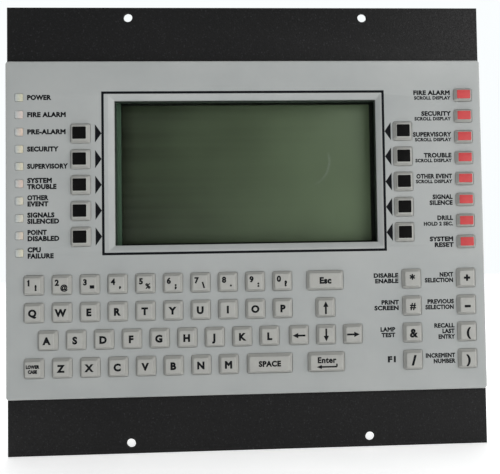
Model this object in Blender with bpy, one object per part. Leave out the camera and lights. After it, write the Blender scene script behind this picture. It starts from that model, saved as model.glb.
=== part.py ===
"""Operator display and keypad panel of a fire alarm control panel.

The panel stands upright: X runs along its width, Z up, and its front faces -Y. The origin is the
centre of its bounding box. Every size below is in millimetres, and mesh_object turns it into metres.
A depth is measured from the fascia's front face, towards the rear.
"""

import math

import bmesh
import bpy

MM = 0.001
GAP = 0.3  # between two pieces that rest on each other

# Chassis: a steel plate with a window for the works, and its sides folded to the rear
PLATE_W, PLATE_H, PLATE_T = 242.4, 226.6, 1.5
WINDOW_W, WINDOW_H = 237.4, 164.0
SIDE_WALL_H, SIDE_WALL_END = 168.6, 24.0
HOLE_D, HOLE_SPACING_X, HOLE_SPACING_Z = 4.5, 120.8, 216.4

# Depths
TOTAL_DEPTH = 44.6
KEY_RISE = 2.2
FASCIA_T = 2.5
PLATE_FRONT = FASCIA_T + GAP
MAT_FRONT, MAT_T = 5.4, 1.0
BOARD_T = 1.6
KEY_BOARD_FRONT = MAT_FRONT + MAT_T + GAP
FRONT_Y = KEY_RISE - TOTAL_DEPTH / 2  # where the fascia's front face lies

# Fascia and display opening
FASCIA_W, FASCIA_H = 242.0, 169.6
DISPLAY_X, DISPLAY_Z = -0.4, 27.4
OPENING_W, OPENING_H = 132.4, 72.4
BEVEL_W, BEVEL_DEPTH = 2.6, 1.6
SHROUD_T = 2.0
SHROUD_END = 7.0
PANE_T = 1.0

# Display module
LCD_VIEW_W, LCD_VIEW_H = 127.2, 69.4
LCD_GLASS_W, LCD_GLASS_H, LCD_GLASS_T = 143.4, 86.4, 1.8
LCD_FRAME_T, LCD_FRAME_WALL = 0.7, 1.2
BACKLIGHT_T = 2.8
LCD_BOARD_W, LCD_BOARD_H = 170.0, 103.5

# Keys
KEY_PITCH = 13.75
KEY_SIZE = 9.0
KEY_CLEAR = 0.5  # from a cap to the edge of its hole
KEY_DRAFT = 0.7  # how far a cap's sides lean in, from the fascia's front to the cap's face
LIP, LIP_T = 0.6, 1.0  # how far a key's lip reaches past its hole, and its thickness
FIRST_KEY_X, FIRST_KEY_Z = -107.06, -27.99
ENTER_W, SPACE_W = 17.8, 22.0
ARROW_X = 38.45
PAD_X = (82.86, 111.03)
SOFT_X = (-83.8, 79.85)
SOFT_Z, SOFT_PITCH, SOFT_COUNT = 47.98, 13.02, 5
RED_X, RED_Z, RED_PITCH = 111.65, 66.49, 10.84
RED_W, RED_H, RED_CLEAR = 8.8, 6.0, 0.35

# Lamp windows
LAMP_X, LAMP_Z, LAMP_PITCH, LAMP_COUNT = -114.1, 66.3, 8.68, 10
LAMP_SIZE, LAMP_CLEAR, LAMP_RISE = 3.8, 0.3, 0.3
LAMP_BAR_W = 5.0

# Works behind the fascia
MAT_W, MAT_H = 231.0, 162.0
CUTOUT_CLEAR = 1.8
TRAY_FRONT, TRAY_T, TRAY_H, TRAY_FLANGE = 20.0, 1.2, 164.0, 9.0
PILLAR_LENGTH, PILLAR_R = 6.0, 3.2
SCREW_R, SCREW_HEAD_R, SCREW_HEAD_T = 1.4, 2.9, 1.8
MAIN_BOARD_W, MAIN_BOARD_H = 160.0, 120.0
PILLAR_INSET = 6.0
TERMINAL_H, TERMINAL_D, TERMINAL_PITCH = 12.0, 12.7, 5.08
ENTRY_W, ENTRY_H, ENTRY_RISE, ENTRY_LENGTH = 3.2, 3.6, 4.0, 4.0
CLAMP_R, CLAMP_DEPTH, CLAMP_Z = 1.9, 2.0, 1.0
TERMINAL_Z = -52.0
POWER_WAYS, POWER_X = 4, -52.0
NETWORK_WAYS, NETWORK_X = 6, -14.0
SOUNDER_X, SOUNDER_Z, SOUNDER_R, SOUNDER_D = 50.0, -28.0, 12.0, 8.0
PORT_R, PORT_DEPTH, SOUNDER_CHAMFER = 2.0, 2.0, 1.0
RIBBON_X, RIBBON_W, RIBBON_T = 38.0, 25.4, 1.0
HEADER_W, HEADER_H, HEADER_D, HEADER_Z = 33.0, 9.0, 8.0, 49.0
RIBBON_EDGE_Z, RIBBON_DEPTH, RIBBON_BEND = 70.0, 35.0, 6.0
SLOT_CLEAR, SLOT_H = 4.0, 9.0
ROUND_SIDES = 16

TRAY_BACK = TRAY_FRONT + TRAY_T
MAIN_BOARD_FRONT = TRAY_BACK + GAP + PILLAR_LENGTH + GAP
MAIN_BOARD_BACK = MAIN_BOARD_FRONT + BOARD_T
KEY_BOARD_BACK = KEY_BOARD_FRONT + BOARD_T
LCD_FRONT = KEY_BOARD_BACK + GAP
LCD_BOARD_FRONT = LCD_FRONT + LCD_FRAME_T + LCD_GLASS_T + BACKLIGHT_T + 4 * GAP
LCD_BOARD_BACK = LCD_BOARD_FRONT + BOARD_T

# Name, red, green, blue, roughness, metallic
FINISHES = {
    "black_powder_coat": (0.022, 0.022, 0.024, 0.55, 0.0),
    "fascia_grey": (0.36, 0.37, 0.355, 0.5, 0.0),
    "key_grey": (0.45, 0.45, 0.42, 0.6, 0.0),
    "key_red": (0.58, 0.09, 0.09, 0.5, 0.0),
    "shroud_grey": (0.1, 0.12, 0.1, 0.6, 0.0),
    "clear_pane": (0.8, 0.85, 0.8, 0.05, 0.0),
    "lamp_lens": (0.75, 0.75, 0.7, 0.3, 0.0),
    "black_steel": (0.01, 0.01, 0.01, 0.4, 0.0),
    "lcd_glass": (0.06, 0.085, 0.06, 0.15, 0.0),
    "light_guide": (0.8, 0.82, 0.78, 0.4, 0.0),
    "board_green": (0.02, 0.11, 0.05, 0.4, 0.0),
    "mat_rubber": (0.3, 0.3, 0.29, 0.8, 0.0),
    "zinc_steel": (0.55, 0.56, 0.57, 0.35, 1.0),
    "pillar_steel": (0.6, 0.6, 0.6, 0.3, 1.0),
    "terminal_green": (0.03, 0.25, 0.09, 0.5, 0.0),
    "black_plastic": (0.015, 0.015, 0.015, 0.5, 0.0),
    "ribbon_grey": (0.35, 0.35, 0.36, 0.5, 0.0),
}


def clear_scene():
    for ob in list(bpy.data.objects):
        bpy.data.objects.remove(ob, do_unlink=True)


def finish(name):
    """The Principled material called name, made on first use."""
    if name in bpy.data.materials:
        return bpy.data.materials[name]
    red, green, blue, roughness, metallic = FINISHES[name]
    mat = bpy.data.materials.new(name)
    mat.use_nodes = True
    shader = mat.node_tree.nodes["Principled BSDF"]
    shader.inputs["Base Color"].default_value = (red, green, blue, 1.0)
    shader.inputs["Roughness"].default_value = roughness
    shader.inputs["Metallic"].default_value = metallic
    return mat


def mesh_object(name, bm, finish_name, centre=(0.0, 0.0)):
    """An object from bm, whose points are (x, depth, z) about centre = (x, z) on the front face."""
    for vert in bm.verts:
        vert.co *= MM
    bmesh.ops.recalc_face_normals(bm, faces=bm.faces)
    mesh = bpy.data.meshes.new(name)
    bm.to_mesh(mesh)
    bm.free()
    mesh.materials.append(finish(finish_name))
    ob = bpy.data.objects.new(name, mesh)
    bpy.context.scene.collection.objects.link(ob)
    ob.location = (centre[0] * MM, FRONT_Y * MM, centre[1] * MM)
    ob.parent = bpy.data.objects["panel"]
    return ob


def rectangle(width, height, x=0.0, z=0.0):
    """The four corners of a rectangle about (x, z), in order."""
    w, h = width / 2, height / 2
    return [(x - w, z - h), (x + w, z - h), (x + w, z + h), (x - w, z + h)]


def circle(radius, x=0.0, z=0.0, sides=ROUND_SIDES):
    turns = [2 * math.pi * (i + 0.5) / sides for i in range(sides)]
    return [(x + radius * math.cos(t), z + radius * math.sin(t)) for t in turns]


def add_stack(bm, levels):
    """Adds a solid through outlines of equally many points, each (depth, outline)."""
    loops = [[bm.verts.new((x, depth, z)) for x, z in outline] for depth, outline in levels]
    for near, far in zip(loops, loops[1:]):
        for i in range(len(near)):
            j = (i + 1) % len(near)
            bm.faces.new((near[i], near[j], far[j], far[i]))
    bm.faces.new(loops[0])
    bm.faces.new(loops[-1])


def stack_object(name, levels, finish_name, centre=(0.0, 0.0)):
    bm = bmesh.new()
    add_stack(bm, levels)
    return mesh_object(name, bm, finish_name, centre)


def block(name, outline, front, back, finish_name, centre=(0.0, 0.0)):
    """A solid with a constant outline between two depths."""
    return stack_object(name, [(front, outline), (back, outline)], finish_name, centre)


def folded_sheet(name, section, length, finish_name):
    """A section of (x, depth) points, run along Z."""
    return run_section(name, [(x, depth, -length / 2) for x, depth in section], (0, 0, length), finish_name)


def run_section(name, section, travel, finish_name, centre=(0.0, 0.0)):
    """The solid that a flat section of (x, depth, z) points sweeps along a straight travel."""
    bm = bmesh.new()
    near = [bm.verts.new(point) for point in section]
    far = [bm.verts.new([a + b for a, b in zip(point, travel)]) for point in section]
    for i in range(len(section)):
        j = (i + 1) % len(section)
        bm.faces.new((near[i], near[j], far[j], far[i]))
    bm.faces.new(near)
    bm.faces.new(far)
    return mesh_object(name, bm, finish_name, centre)


def combine(ob, operation, stacks):
    """A Boolean of ob with the separate solids in stacks, each a list of levels."""
    bm = bmesh.new()
    for levels in stacks:
        add_stack(bm, levels)
    centre = (ob.location.x / MM, ob.location.z / MM)
    cutter = mesh_object(ob.name + "_" + operation.lower(), bm, ob.data.materials[0].name, centre)
    cutter.hide_render = True
    cutter.display_type = "WIRE"
    modifier = ob.modifiers.new(operation.title(), "BOOLEAN")
    modifier.operation = operation
    modifier.solver = "EXACT"
    modifier.object = cutter


def through(outline, front, back):
    """Levels of a cutter that runs 1 mm past both depths."""
    return [(front - 1.0, outline), (back + 1.0, outline)]


# Keys ------------------------------------------------------------------------------------------


def cap_levels(width, height, foot, x=0.0, z=0.0):
    """A key's cap, from its face, down its leaning sides, to the depth of its foot."""
    face = rectangle(width - 2 * KEY_DRAFT, height - 2 * KEY_DRAFT, x, z)
    side = rectangle(width, height, x, z)
    return [(-KEY_RISE, face), (0.0, side), (foot, side)]


def lip_outline(width, height, clear):
    reach = 2 * (clear + LIP)
    return rectangle(width + reach, height + reach)


def add_key(name, x, z, width=KEY_SIZE, height=KEY_SIZE, clear=KEY_CLEAR, finish_name="key_grey"):
    """One key: a cap through the fascia on a lip that stops it from behind."""
    lip = lip_outline(width, height, clear)
    levels = cap_levels(width, height, PLATE_FRONT)
    levels += [(PLATE_FRONT, lip), (PLATE_FRONT + LIP_T, lip)]
    stack_object(name, levels, finish_name, (x, z))
    HOLES.append(rectangle(width + 2 * clear, height + 2 * clear, x, z))


def add_key_row(name, first_column, count, row):
    """A row of keys that share one strip as their lip, and so move as one piece."""
    span = (count - 1) * KEY_PITCH
    x = FIRST_KEY_X + first_column * KEY_PITCH + span / 2
    z = FIRST_KEY_Z - row * KEY_PITCH
    lip = lip_outline(KEY_SIZE + span, KEY_SIZE, KEY_CLEAR)
    strip = block(name, lip, PLATE_FRONT, PLATE_FRONT + LIP_T, "key_grey", (x, z))
    offsets = [i * KEY_PITCH - span / 2 for i in range(count)]
    foot = PLATE_FRONT + LIP_T / 2
    combine(strip, "UNION", [cap_levels(KEY_SIZE, KEY_SIZE, foot, dx) for dx in offsets])
    for dx in offsets:
        HOLES.append(rectangle(KEY_SIZE + 2 * KEY_CLEAR, KEY_SIZE + 2 * KEY_CLEAR, x + dx, z))


def keyboard():
    rows = [("key_row_digits", 0, 10), ("key_row_q", 0, 10), ("key_row_a", 0.5, 9), ("key_row_z", 1, 7)]
    for row, (name, first_column, count) in enumerate(rows):
        add_key_row(name, first_column, count, row)
    row_z = [FIRST_KEY_Z - row * KEY_PITCH for row in range(4)]
    add_key("key_escape", ARROW_X, row_z[0], width=ENTER_W)
    add_key("key_up", ARROW_X, row_z[1])
    add_key("key_left", ARROW_X - KEY_PITCH, row_z[2])
    add_key("key_down", ARROW_X, row_z[2])
    add_key("key_right", ARROW_X + KEY_PITCH, row_z[2])
    add_key("key_lower_case", FIRST_KEY_X, row_z[3])
    add_key("key_space", FIRST_KEY_X + 8.5 * KEY_PITCH, row_z[3], width=SPACE_W)
    add_key("key_enter", ARROW_X, row_z[3], width=ENTER_W)


def right_pad():
    names = [
        ("disable_enable", "next_selection"),
        ("print_screen", "previous_selection"),
        ("lamp_test", "recall_last_entry"),
        ("f1", "increment_number"),
    ]
    for row, pair in enumerate(names):
        for name, x in zip(pair, PAD_X):
            add_key("pad_key_" + name, x, FIRST_KEY_Z - row * KEY_PITCH)


def soft_keys():
    for side, x in zip(("left", "right"), SOFT_X):
        for i in range(SOFT_COUNT):
            add_key(f"soft_key_{side}_{i + 1}", x, SOFT_Z - i * SOFT_PITCH)


def red_keys():
    names = ["fire_alarm", "security", "supervisory", "trouble", "other_event"]
    names += ["signal_silence", "drill", "system_reset"]
    for i, name in enumerate(names):
        z = RED_Z - i * RED_PITCH
        add_key("red_key_" + name, RED_X, z, RED_W, RED_H, RED_CLEAR, "key_red")


# Front -----------------------------------------------------------------------------------------


def lamp_places():
    return [LAMP_Z - i * LAMP_PITCH for i in range(LAMP_COUNT)]


def lamp_lens_strip():
    """Ten light pipes on one bar behind the fascia, reaching back to the lamps on the key board."""
    middle = LAMP_Z - (LAMP_COUNT - 1) * LAMP_PITCH / 2
    length = (LAMP_COUNT - 1) * LAMP_PITCH + LAMP_BAR_W
    bar = rectangle(LAMP_BAR_W, length)
    back = KEY_BOARD_FRONT - GAP
    strip = block("lamp_lens_strip", bar, PLATE_FRONT, back, "lamp_lens", (LAMP_X, middle))
    pipes = []
    for z in lamp_places():
        outline = rectangle(LAMP_SIZE, LAMP_SIZE, 0.0, z - middle)
        pipes.append([(-LAMP_RISE, outline), (PLATE_FRONT + 1.0, outline)])
        hole = LAMP_SIZE + 2 * LAMP_CLEAR
        HOLES.append(rectangle(hole, hole, LAMP_X, z))
    combine(strip, "UNION", pipes)


def fascia():
    """The grey front, with a bevelled display opening and a hole for every key and lamp."""
    plate = block("fascia", rectangle(FASCIA_W, FASCIA_H), 0.0, FASCIA_T, "fascia_grey")
    inner = rectangle(OPENING_W, OPENING_H, DISPLAY_X, DISPLAY_Z)
    slope = BEVEL_W / BEVEL_DEPTH
    reach = 2 * (BEVEL_W + slope)
    outer = rectangle(OPENING_W + reach, OPENING_H + reach, DISPLAY_X, DISPLAY_Z)
    opening = [(-1.0, outer), (BEVEL_DEPTH, inner), (FASCIA_T + 1.0, inner)]
    combine(plate, "DIFFERENCE", [opening] + [through(hole, 0.0, FASCIA_T) for hole in HOLES])


def chassis():
    """The steel plate with its window and mounting holes, and its two folded sides."""
    w, t = PLATE_W / 2, PLATE_T
    front, back, tip = PLATE_FRONT, PLATE_FRONT + PLATE_T, SIDE_WALL_END
    section = [(-w, front), (w, front), (w, tip), (w - t, tip)]
    section += [(w - t, back), (t - w, back), (t - w, tip), (-w, tip)]
    plate = folded_sheet("chassis", section, PLATE_H, "black_powder_coat")
    cuts = [through(rectangle(WINDOW_W, WINDOW_H), front, back)]
    strip = (PLATE_H - SIDE_WALL_H) / 2
    for x_side in (-1, 1):
        for z_side in (-1, 1):
            hole = circle(HOLE_D / 2, x_side * HOLE_SPACING_X / 2, z_side * HOLE_SPACING_Z / 2)
            cuts.append(through(hole, front, back))
            corner = rectangle(2 * t + 2.0, 2 * strip, x_side * (w - t / 2), z_side * PLATE_H / 2)
            cuts.append([(back, corner), (tip + 1.0, corner)])
    combine(plate, "DIFFERENCE", cuts)


def display_shroud():
    """A rectangular sleeve from the fascia's opening back to the clear pane."""
    centre = (DISPLAY_X, DISPLAY_Z)
    outer = rectangle(OPENING_W + 2 * SHROUD_T, OPENING_H + 2 * SHROUD_T)
    sleeve = block("display_shroud", outer, PLATE_FRONT, SHROUD_END, "shroud_grey", centre)
    combine(sleeve, "DIFFERENCE", [through(rectangle(OPENING_W, OPENING_H), PLATE_FRONT, SHROUD_END)])
    front = SHROUD_END + GAP
    block("display_window", outer, front, front + PANE_T, "clear_pane", centre)


def display_module():
    """The display's black steel frame, its glass, light guide and circuit board."""
    centre = (DISPLAY_X, DISPLAY_Z)
    margin = 2 * (GAP + LCD_FRAME_WALL)
    outer = rectangle(LCD_GLASS_W + margin, LCD_GLASS_H + margin)
    back = LCD_BOARD_FRONT - GAP
    frame = block("lcd_frame", outer, LCD_FRONT, back, "black_steel", centre)
    pocket = rectangle(LCD_GLASS_W + 2 * GAP, LCD_GLASS_H + 2 * GAP)
    pocket_front = LCD_FRONT + LCD_FRAME_T
    view = rectangle(LCD_VIEW_W, LCD_VIEW_H)
    combine(frame, "DIFFERENCE", [[(pocket_front, pocket), (back + 1.0, pocket)]])
    combine(frame, "DIFFERENCE", [through(view, LCD_FRONT, pocket_front)])
    glass = rectangle(LCD_GLASS_W, LCD_GLASS_H)
    glass_front = pocket_front + GAP
    glass_back = glass_front + LCD_GLASS_T
    block("lcd_glass", glass, glass_front, glass_back, "lcd_glass", centre)
    guide_front = glass_back + GAP
    block("lcd_backlight", glass, guide_front, guide_front + BACKLIGHT_T, "light_guide", centre)
    board = rectangle(LCD_BOARD_W, LCD_BOARD_H)
    block("lcd_circuit_board", board, LCD_BOARD_FRONT, LCD_BOARD_BACK, "board_green", centre)


def key_mat_and_board():
    """The rubber mat under the keys, notched beside the lamps, and the circuit board behind it."""
    sheet = rectangle(MAT_W, MAT_H)
    clear = 2 * (SHROUD_T + CUTOUT_CLEAR)
    cutout = rectangle(OPENING_W + clear, OPENING_H + clear, DISPLAY_X, DISPLAY_Z)
    mat_back = MAT_FRONT + MAT_T
    mat = block("keypad_mat", sheet, MAT_FRONT, mat_back, "mat_rubber")
    notch_x, notch_z = LAMP_X + LAMP_BAR_W, lamp_places()[-1] - LAMP_BAR_W
    corner = rectangle(2 * (MAT_W / 2 + notch_x), 2 * (MAT_H / 2 - notch_z), -MAT_W / 2, MAT_H / 2)
    cuts = [through(cutout, MAT_FRONT, mat_back), through(corner, MAT_FRONT, mat_back)]
    combine(mat, "DIFFERENCE", cuts)
    board = block("keypad_circuit_board", sheet, KEY_BOARD_FRONT, KEY_BOARD_BACK, "board_green")
    combine(board, "DIFFERENCE", [through(cutout, KEY_BOARD_FRONT, KEY_BOARD_BACK)])


# Rear ------------------------------------------------------------------------------------------


def board_tray():
    """A steel sheet across the back, with its ends folded forward inside the chassis' sides."""
    w, t = PLATE_W / 2 - PLATE_T - GAP, TRAY_T
    tip = TRAY_FRONT - TRAY_FLANGE
    section = [(-w, TRAY_BACK), (-w, tip), (t - w, tip), (t - w, TRAY_FRONT)]
    section += [(w - t, TRAY_FRONT), (w - t, tip), (w, tip), (w, TRAY_BACK)]
    tray = folded_sheet("board_tray", section, TRAY_H, "zinc_steel")
    slot = rectangle(RIBBON_W + 2 * SLOT_CLEAR, SLOT_H, RIBBON_X, RIBBON_EDGE_Z)
    combine(tray, "DIFFERENCE", [through(slot, TRAY_FRONT, TRAY_BACK)])


def pillar_places():
    w, h = MAIN_BOARD_W / 2 - PILLAR_INSET, MAIN_BOARD_H / 2 - PILLAR_INSET
    return [(-w, h), (w, h), (-w, -h), (w, -h)]


def main_board():
    """The main circuit board, and the pillars and screws that hold it to the tray."""
    outline = rectangle(MAIN_BOARD_W, MAIN_BOARD_H)
    board = block("main_circuit_board", outline, MAIN_BOARD_FRONT, MAIN_BOARD_BACK, "board_green")
    holes = [circle(SCREW_R + GAP, x, z) for x, z in pillar_places()]
    combine(board, "DIFFERENCE", [through(hole, MAIN_BOARD_FRONT, MAIN_BOARD_BACK) for hole in holes])
    pillar_front = TRAY_BACK + GAP
    pillar_back = pillar_front + PILLAR_LENGTH
    head_front = MAIN_BOARD_BACK + GAP
    for i, place in enumerate(pillar_places()):
        levels = [(pillar_front, circle(PILLAR_R)), (pillar_back, circle(PILLAR_R))]
        levels += [(pillar_back, circle(SCREW_R)), (head_front, circle(SCREW_R))]
        levels += [(head_front, circle(SCREW_HEAD_R)), (head_front + SCREW_HEAD_T, circle(SCREW_HEAD_R))]
        stack_object(f"board_pillar_{i + 1}", levels, "pillar_steel", place)


def terminal_block(name, ways, x, z):
    """A terminal block: each way has a wire entry in the lower side and a clamp screw's hole."""
    width = ways * TERMINAL_PITCH
    front = MAIN_BOARD_BACK + GAP
    back = front + TERMINAL_D
    body = block(name, rectangle(width, TERMINAL_H), front, back, "terminal_green", (x, z))
    cuts = []
    for i in range(ways):
        dx = (i - (ways - 1) / 2) * TERMINAL_PITCH
        entry = rectangle(ENTRY_W, 2 * ENTRY_LENGTH, dx, -TERMINAL_H / 2)
        screw = circle(CLAMP_R, dx, CLAMP_Z, sides=8)
        cuts.append([(front + ENTRY_RISE, entry), (front + ENTRY_RISE + ENTRY_H, entry)])
        cuts.append([(back - CLAMP_DEPTH, screw), (back + 1.0, screw)])
    combine(body, "DIFFERENCE", cuts)


def sounder():
    """A round sounder with a small port in the middle of its face."""
    front = MAIN_BOARD_BACK + GAP
    back = front + SOUNDER_D
    wall, face, port = circle(SOUNDER_R), circle(SOUNDER_R - SOUNDER_CHAMFER), circle(PORT_R)
    levels = [(front, wall), (back - SOUNDER_CHAMFER, wall), (back, face)]
    levels += [(back, port), (back - PORT_DEPTH, port)]
    stack_object("sounder", levels, "black_plastic", (SOUNDER_X, SOUNDER_Z))


def ribbon():
    """The display's ribbon cable: from its header, over the board's edge and through the tray."""
    header = rectangle(HEADER_W, HEADER_H, RIBBON_X, HEADER_Z)
    front = MAIN_BOARD_BACK + GAP
    block("ribbon_header", header, front, front + HEADER_D, "black_plastic")
    start, end = HEADER_Z + HEADER_H / 2 + GAP, LCD_BOARD_BACK + GAP
    outer = ribbon_edge(RIBBON_BEND, start, end)
    inner = ribbon_edge(RIBBON_BEND - RIBBON_T, start, end)
    section = [(RIBBON_X - RIBBON_W / 2, depth, z) for depth, z in outer + inner[::-1]]
    run_section("ribbon_cable", section, (RIBBON_W, 0, 0), "ribbon_grey")


def ribbon_edge(radius, start, end, steps=4):
    """One face of the ribbon as (depth, z): up from start, round a quarter turn and forward to end."""
    depth, z = RIBBON_DEPTH - RIBBON_BEND, RIBBON_EDGE_Z - RIBBON_BEND
    turns = [math.pi / 2 * i / steps for i in range(steps + 1)]
    bend = [(depth + radius * math.cos(t), z + radius * math.sin(t)) for t in turns]
    return [(depth + radius, start)] + bend + [(end, z + radius)]


HOLES = []  # outlines of the fascia's key and lamp holes, filled in as the pieces are made

clear_scene()
bpy.context.scene.collection.objects.link(bpy.data.objects.new("panel", None))
keyboard()
right_pad()
soft_keys()
red_keys()
lamp_lens_strip()
fascia()
chassis()
display_shroud()
display_module()
key_mat_and_board()
board_tray()
main_board()
terminal_block("terminal_block_power", POWER_WAYS, POWER_X, TERMINAL_Z)
terminal_block("terminal_block_network", NETWORK_WAYS, NETWORK_X, TERMINAL_Z)
sounder()
ribbon()
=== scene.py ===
"""The looks of a fire alarm control panel's operator display and keypad panel.

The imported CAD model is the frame. Every piece here is made in millimetres, as points (x, depth, z):
X runs along the panel's width, Z up, and a depth is measured from the fascia's front face towards
the rear. add_piece turns them into metres in the frame.
"""

import math
import random

import bmesh
import bpy
from mathutils import Matrix, Vector, geometry


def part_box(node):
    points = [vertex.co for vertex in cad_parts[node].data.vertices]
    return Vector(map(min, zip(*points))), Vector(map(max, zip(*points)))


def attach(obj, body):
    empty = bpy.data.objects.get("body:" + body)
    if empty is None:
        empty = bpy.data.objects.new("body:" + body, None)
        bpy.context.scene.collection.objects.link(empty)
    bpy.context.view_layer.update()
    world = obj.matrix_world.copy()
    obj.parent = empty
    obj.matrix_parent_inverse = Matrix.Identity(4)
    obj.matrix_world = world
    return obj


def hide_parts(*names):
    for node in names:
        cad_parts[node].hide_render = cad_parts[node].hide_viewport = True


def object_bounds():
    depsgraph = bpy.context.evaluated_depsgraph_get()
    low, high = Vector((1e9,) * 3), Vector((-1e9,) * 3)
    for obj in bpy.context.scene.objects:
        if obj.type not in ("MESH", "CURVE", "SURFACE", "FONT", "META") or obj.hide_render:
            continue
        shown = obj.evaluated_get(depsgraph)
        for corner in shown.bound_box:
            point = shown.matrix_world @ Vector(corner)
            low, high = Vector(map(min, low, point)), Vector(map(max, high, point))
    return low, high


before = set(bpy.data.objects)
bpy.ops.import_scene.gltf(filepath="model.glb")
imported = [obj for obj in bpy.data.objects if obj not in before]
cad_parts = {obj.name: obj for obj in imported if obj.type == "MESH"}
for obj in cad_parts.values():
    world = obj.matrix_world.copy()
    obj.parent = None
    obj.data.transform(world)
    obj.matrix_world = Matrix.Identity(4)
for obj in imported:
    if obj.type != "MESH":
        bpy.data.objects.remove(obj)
CAD_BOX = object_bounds()

MM = 0.001
FRONT_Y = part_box("fascia")[0].y / MM  # where the fascia's front face lies
EDGE = "edge"  # attribute: 1 on a rounded edge, 0 elsewhere


class Span:
    """A CAD node's box: its centre (x, z), width, height, and the depths of its front and back."""

    def __init__(self, node):
        low, high = (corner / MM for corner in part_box(node))
        self.x, self.z = (low.x + high.x) / 2, (low.z + high.z) / 2
        self.w, self.h = high.x - low.x, high.z - low.z
        self.left, self.right, self.bottom, self.top = low.x, high.x, low.z, high.z
        self.front, self.back = low.y - FRONT_Y, high.y - FRONT_Y


CHASSIS, FASCIA = Span("chassis"), Span("fascia")
SHROUD, PANE, LCD_FRAME = Span("display_shroud"), Span("display_window"), Span("lcd_frame")
LCD = Span("lcd_glass")
TRAY, BOARD = Span("board_tray"), Span("main_circuit_board")
VIEW_W, VIEW_H, VIEW_X, VIEW_Z = 129.8, 72.0, LCD_FRAME.x - 0.2, LCD_FRAME.z + 0.7
VIEW_LEFT = VIEW_X - VIEW_W / 2
SHROUD_THINNING = 0.6  # the sleeve's walls are thinner than the CAD's, and the opening that much wider
SHROUD_WALL = 2.0 - SHROUD_THINNING
OPENING_W, OPENING_H = SHROUD.w - 2 * SHROUD_WALL, SHROUD.h - 2 * SHROUD_WALL
OPENING_X, OPENING_Z = SHROUD.x - 0.1, SHROUD.z + 0.6
KEY_RISE = -Span("key_escape").front


# Materials ---------------------------------------


class Look:
    """A Principled material and the calls that add nodes to it. Sizes of patterns are in millimetres."""

    def __init__(self, name, colour, **settings):
        self.material = bpy.data.materials.new(name)
        self.material.use_nodes = True
        self.tree = self.material.node_tree
        self.shader = self.tree.nodes["Principled BSDF"]
        self.place = self.add("ShaderNodeTexCoord").outputs["Object"]
        self.set("Base Color", (*colour, 1.0))
        for socket, value in settings.items():
            self.set(socket.replace("_", " ").title().replace("Ior", "IOR"), value)

    def set(self, socket, value):
        self.wire(self.shader.inputs[socket], value)

    def wire(self, socket, value):
        if isinstance(value, bpy.types.NodeSocket):
            self.tree.links.new(value, socket)
        else:
            socket.default_value = value

    def add(self, kind, inputs=None, **settings):
        node = self.tree.nodes.new(kind)
        for name, value in settings.items():
            setattr(node, name, value)
        for name, value in (inputs or {}).items():
            self.wire(node.inputs[name], value)
        return node

    def noise(self, size, detail=2.0, rough=0.5, stretch=None):
        inputs = {"Scale": 1 / (size * MM), "Detail": detail, "Roughness": rough}
        inputs["Vector"] = self.stretched(stretch) if stretch else self.place
        return self.add("ShaderNodeTexNoise", inputs).outputs["Fac"]

    def cells(self, size, feature="F1", output="Distance"):
        inputs = {"Scale": 1 / (size * MM), "Vector": self.place}
        return self.add("ShaderNodeTexVoronoi", inputs, feature=feature).outputs[output]

    def stretched(self, scale):
        inputs = {"Vector": self.place, "Scale": scale}
        return self.add("ShaderNodeMapping", inputs, vector_type="POINT").outputs["Vector"]

    def ramp(self, value, low, high, to_low=0.0, to_high=1.0):
        inputs = {"Value": value, "From Min": low, "From Max": high, "To Min": to_low, "To Max": to_high}
        return self.add("ShaderNodeMapRange", inputs).outputs["Result"]

    def drift(self, size, low=0.0, high=1.0, detail=3.0, rough=0.5):
        """Noise spread between two values."""
        return self.ramp(self.noise(size, detail, rough), 0.3, 0.7, low, high)

    def maths(self, operation, first, second=0.0):
        node = self.add("ShaderNodeMath", operation=operation)
        self.wire(node.inputs[0], first)
        self.wire(node.inputs[1], second)
        return node.outputs["Value"]

    def mix(self, factor, first, second):
        """A colour between first and second, each a socket or (red, green, blue)."""
        node = self.add("ShaderNodeMix", data_type="RGBA")
        self.wire(node.inputs["Factor"], factor)
        for socket, colour in ((node.inputs[6], first), (node.inputs[7], second)):
            self.wire(socket, (*colour, 1.0) if isinstance(colour, tuple) else colour)
        return node.outputs[2]

    def axis(self, index):
        return self.add("ShaderNodeSeparateXYZ", {"Vector": self.place}).outputs[index]

    def worn(self, most=0.6):
        """How far a point is on a rounded edge, where a finish rubs thin in patches."""
        edge = self.add("ShaderNodeAttribute", attribute_name=EDGE).outputs["Fac"]
        return self.maths("MULTIPLY", edge, self.ramp(self.noise(3.0, 4.0, 0.7), 0.4, 0.65, 0.0, most))

    def finish(self, colour, roughness, *bumps):
        """The material, with its colour, roughness and bumps of (height socket, millimetres) set."""
        self.set("Base Color", colour)
        self.set("Roughness", roughness)
        normal = None
        for height, size in bumps:
            node = self.add("ShaderNodeBump", {"Height": height, "Distance": size * MM})
            if normal:
                self.wire(node.inputs["Normal"], normal)
            normal = node.outputs["Normal"]
        self.set("Normal", normal)
        return self.material


def powder_coat():
    """Black textured powder coat: a fine wrinkle, paler flecks painted in as glints, dust, and rubbed outer
    edges.
    """
    look = Look("black_powder_coat", (0.006, 0.006, 0.0065), specular_ior_level=0.24)
    wrinkle = look.noise(0.9, 3.0, 0.65)
    # painted glint: paler flecks in the colour stand in for the coat's sparkle
    painted_glint = look.ramp(look.noise(0.8, 2.0, 0.6), 0.6, 0.75)
    dust = look.ramp(look.noise(30.0, 3.0), 0.4, 0.8, 0.0, 0.09)
    colour = look.mix(painted_glint, (0.002, 0.002, 0.0022), (0.022, 0.022, 0.024))
    colour = look.mix(dust, colour, (0.02, 0.019, 0.018))
    colour = look.mix(look.worn(0.8), colour, (0.1, 0.095, 0.09))
    roughness = look.ramp(wrinkle, 0.3, 0.7, 0.42, 0.7)
    return look.finish(colour, roughness, (wrinkle, 0.12), (look.noise(3.0), 0.08))


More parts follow.
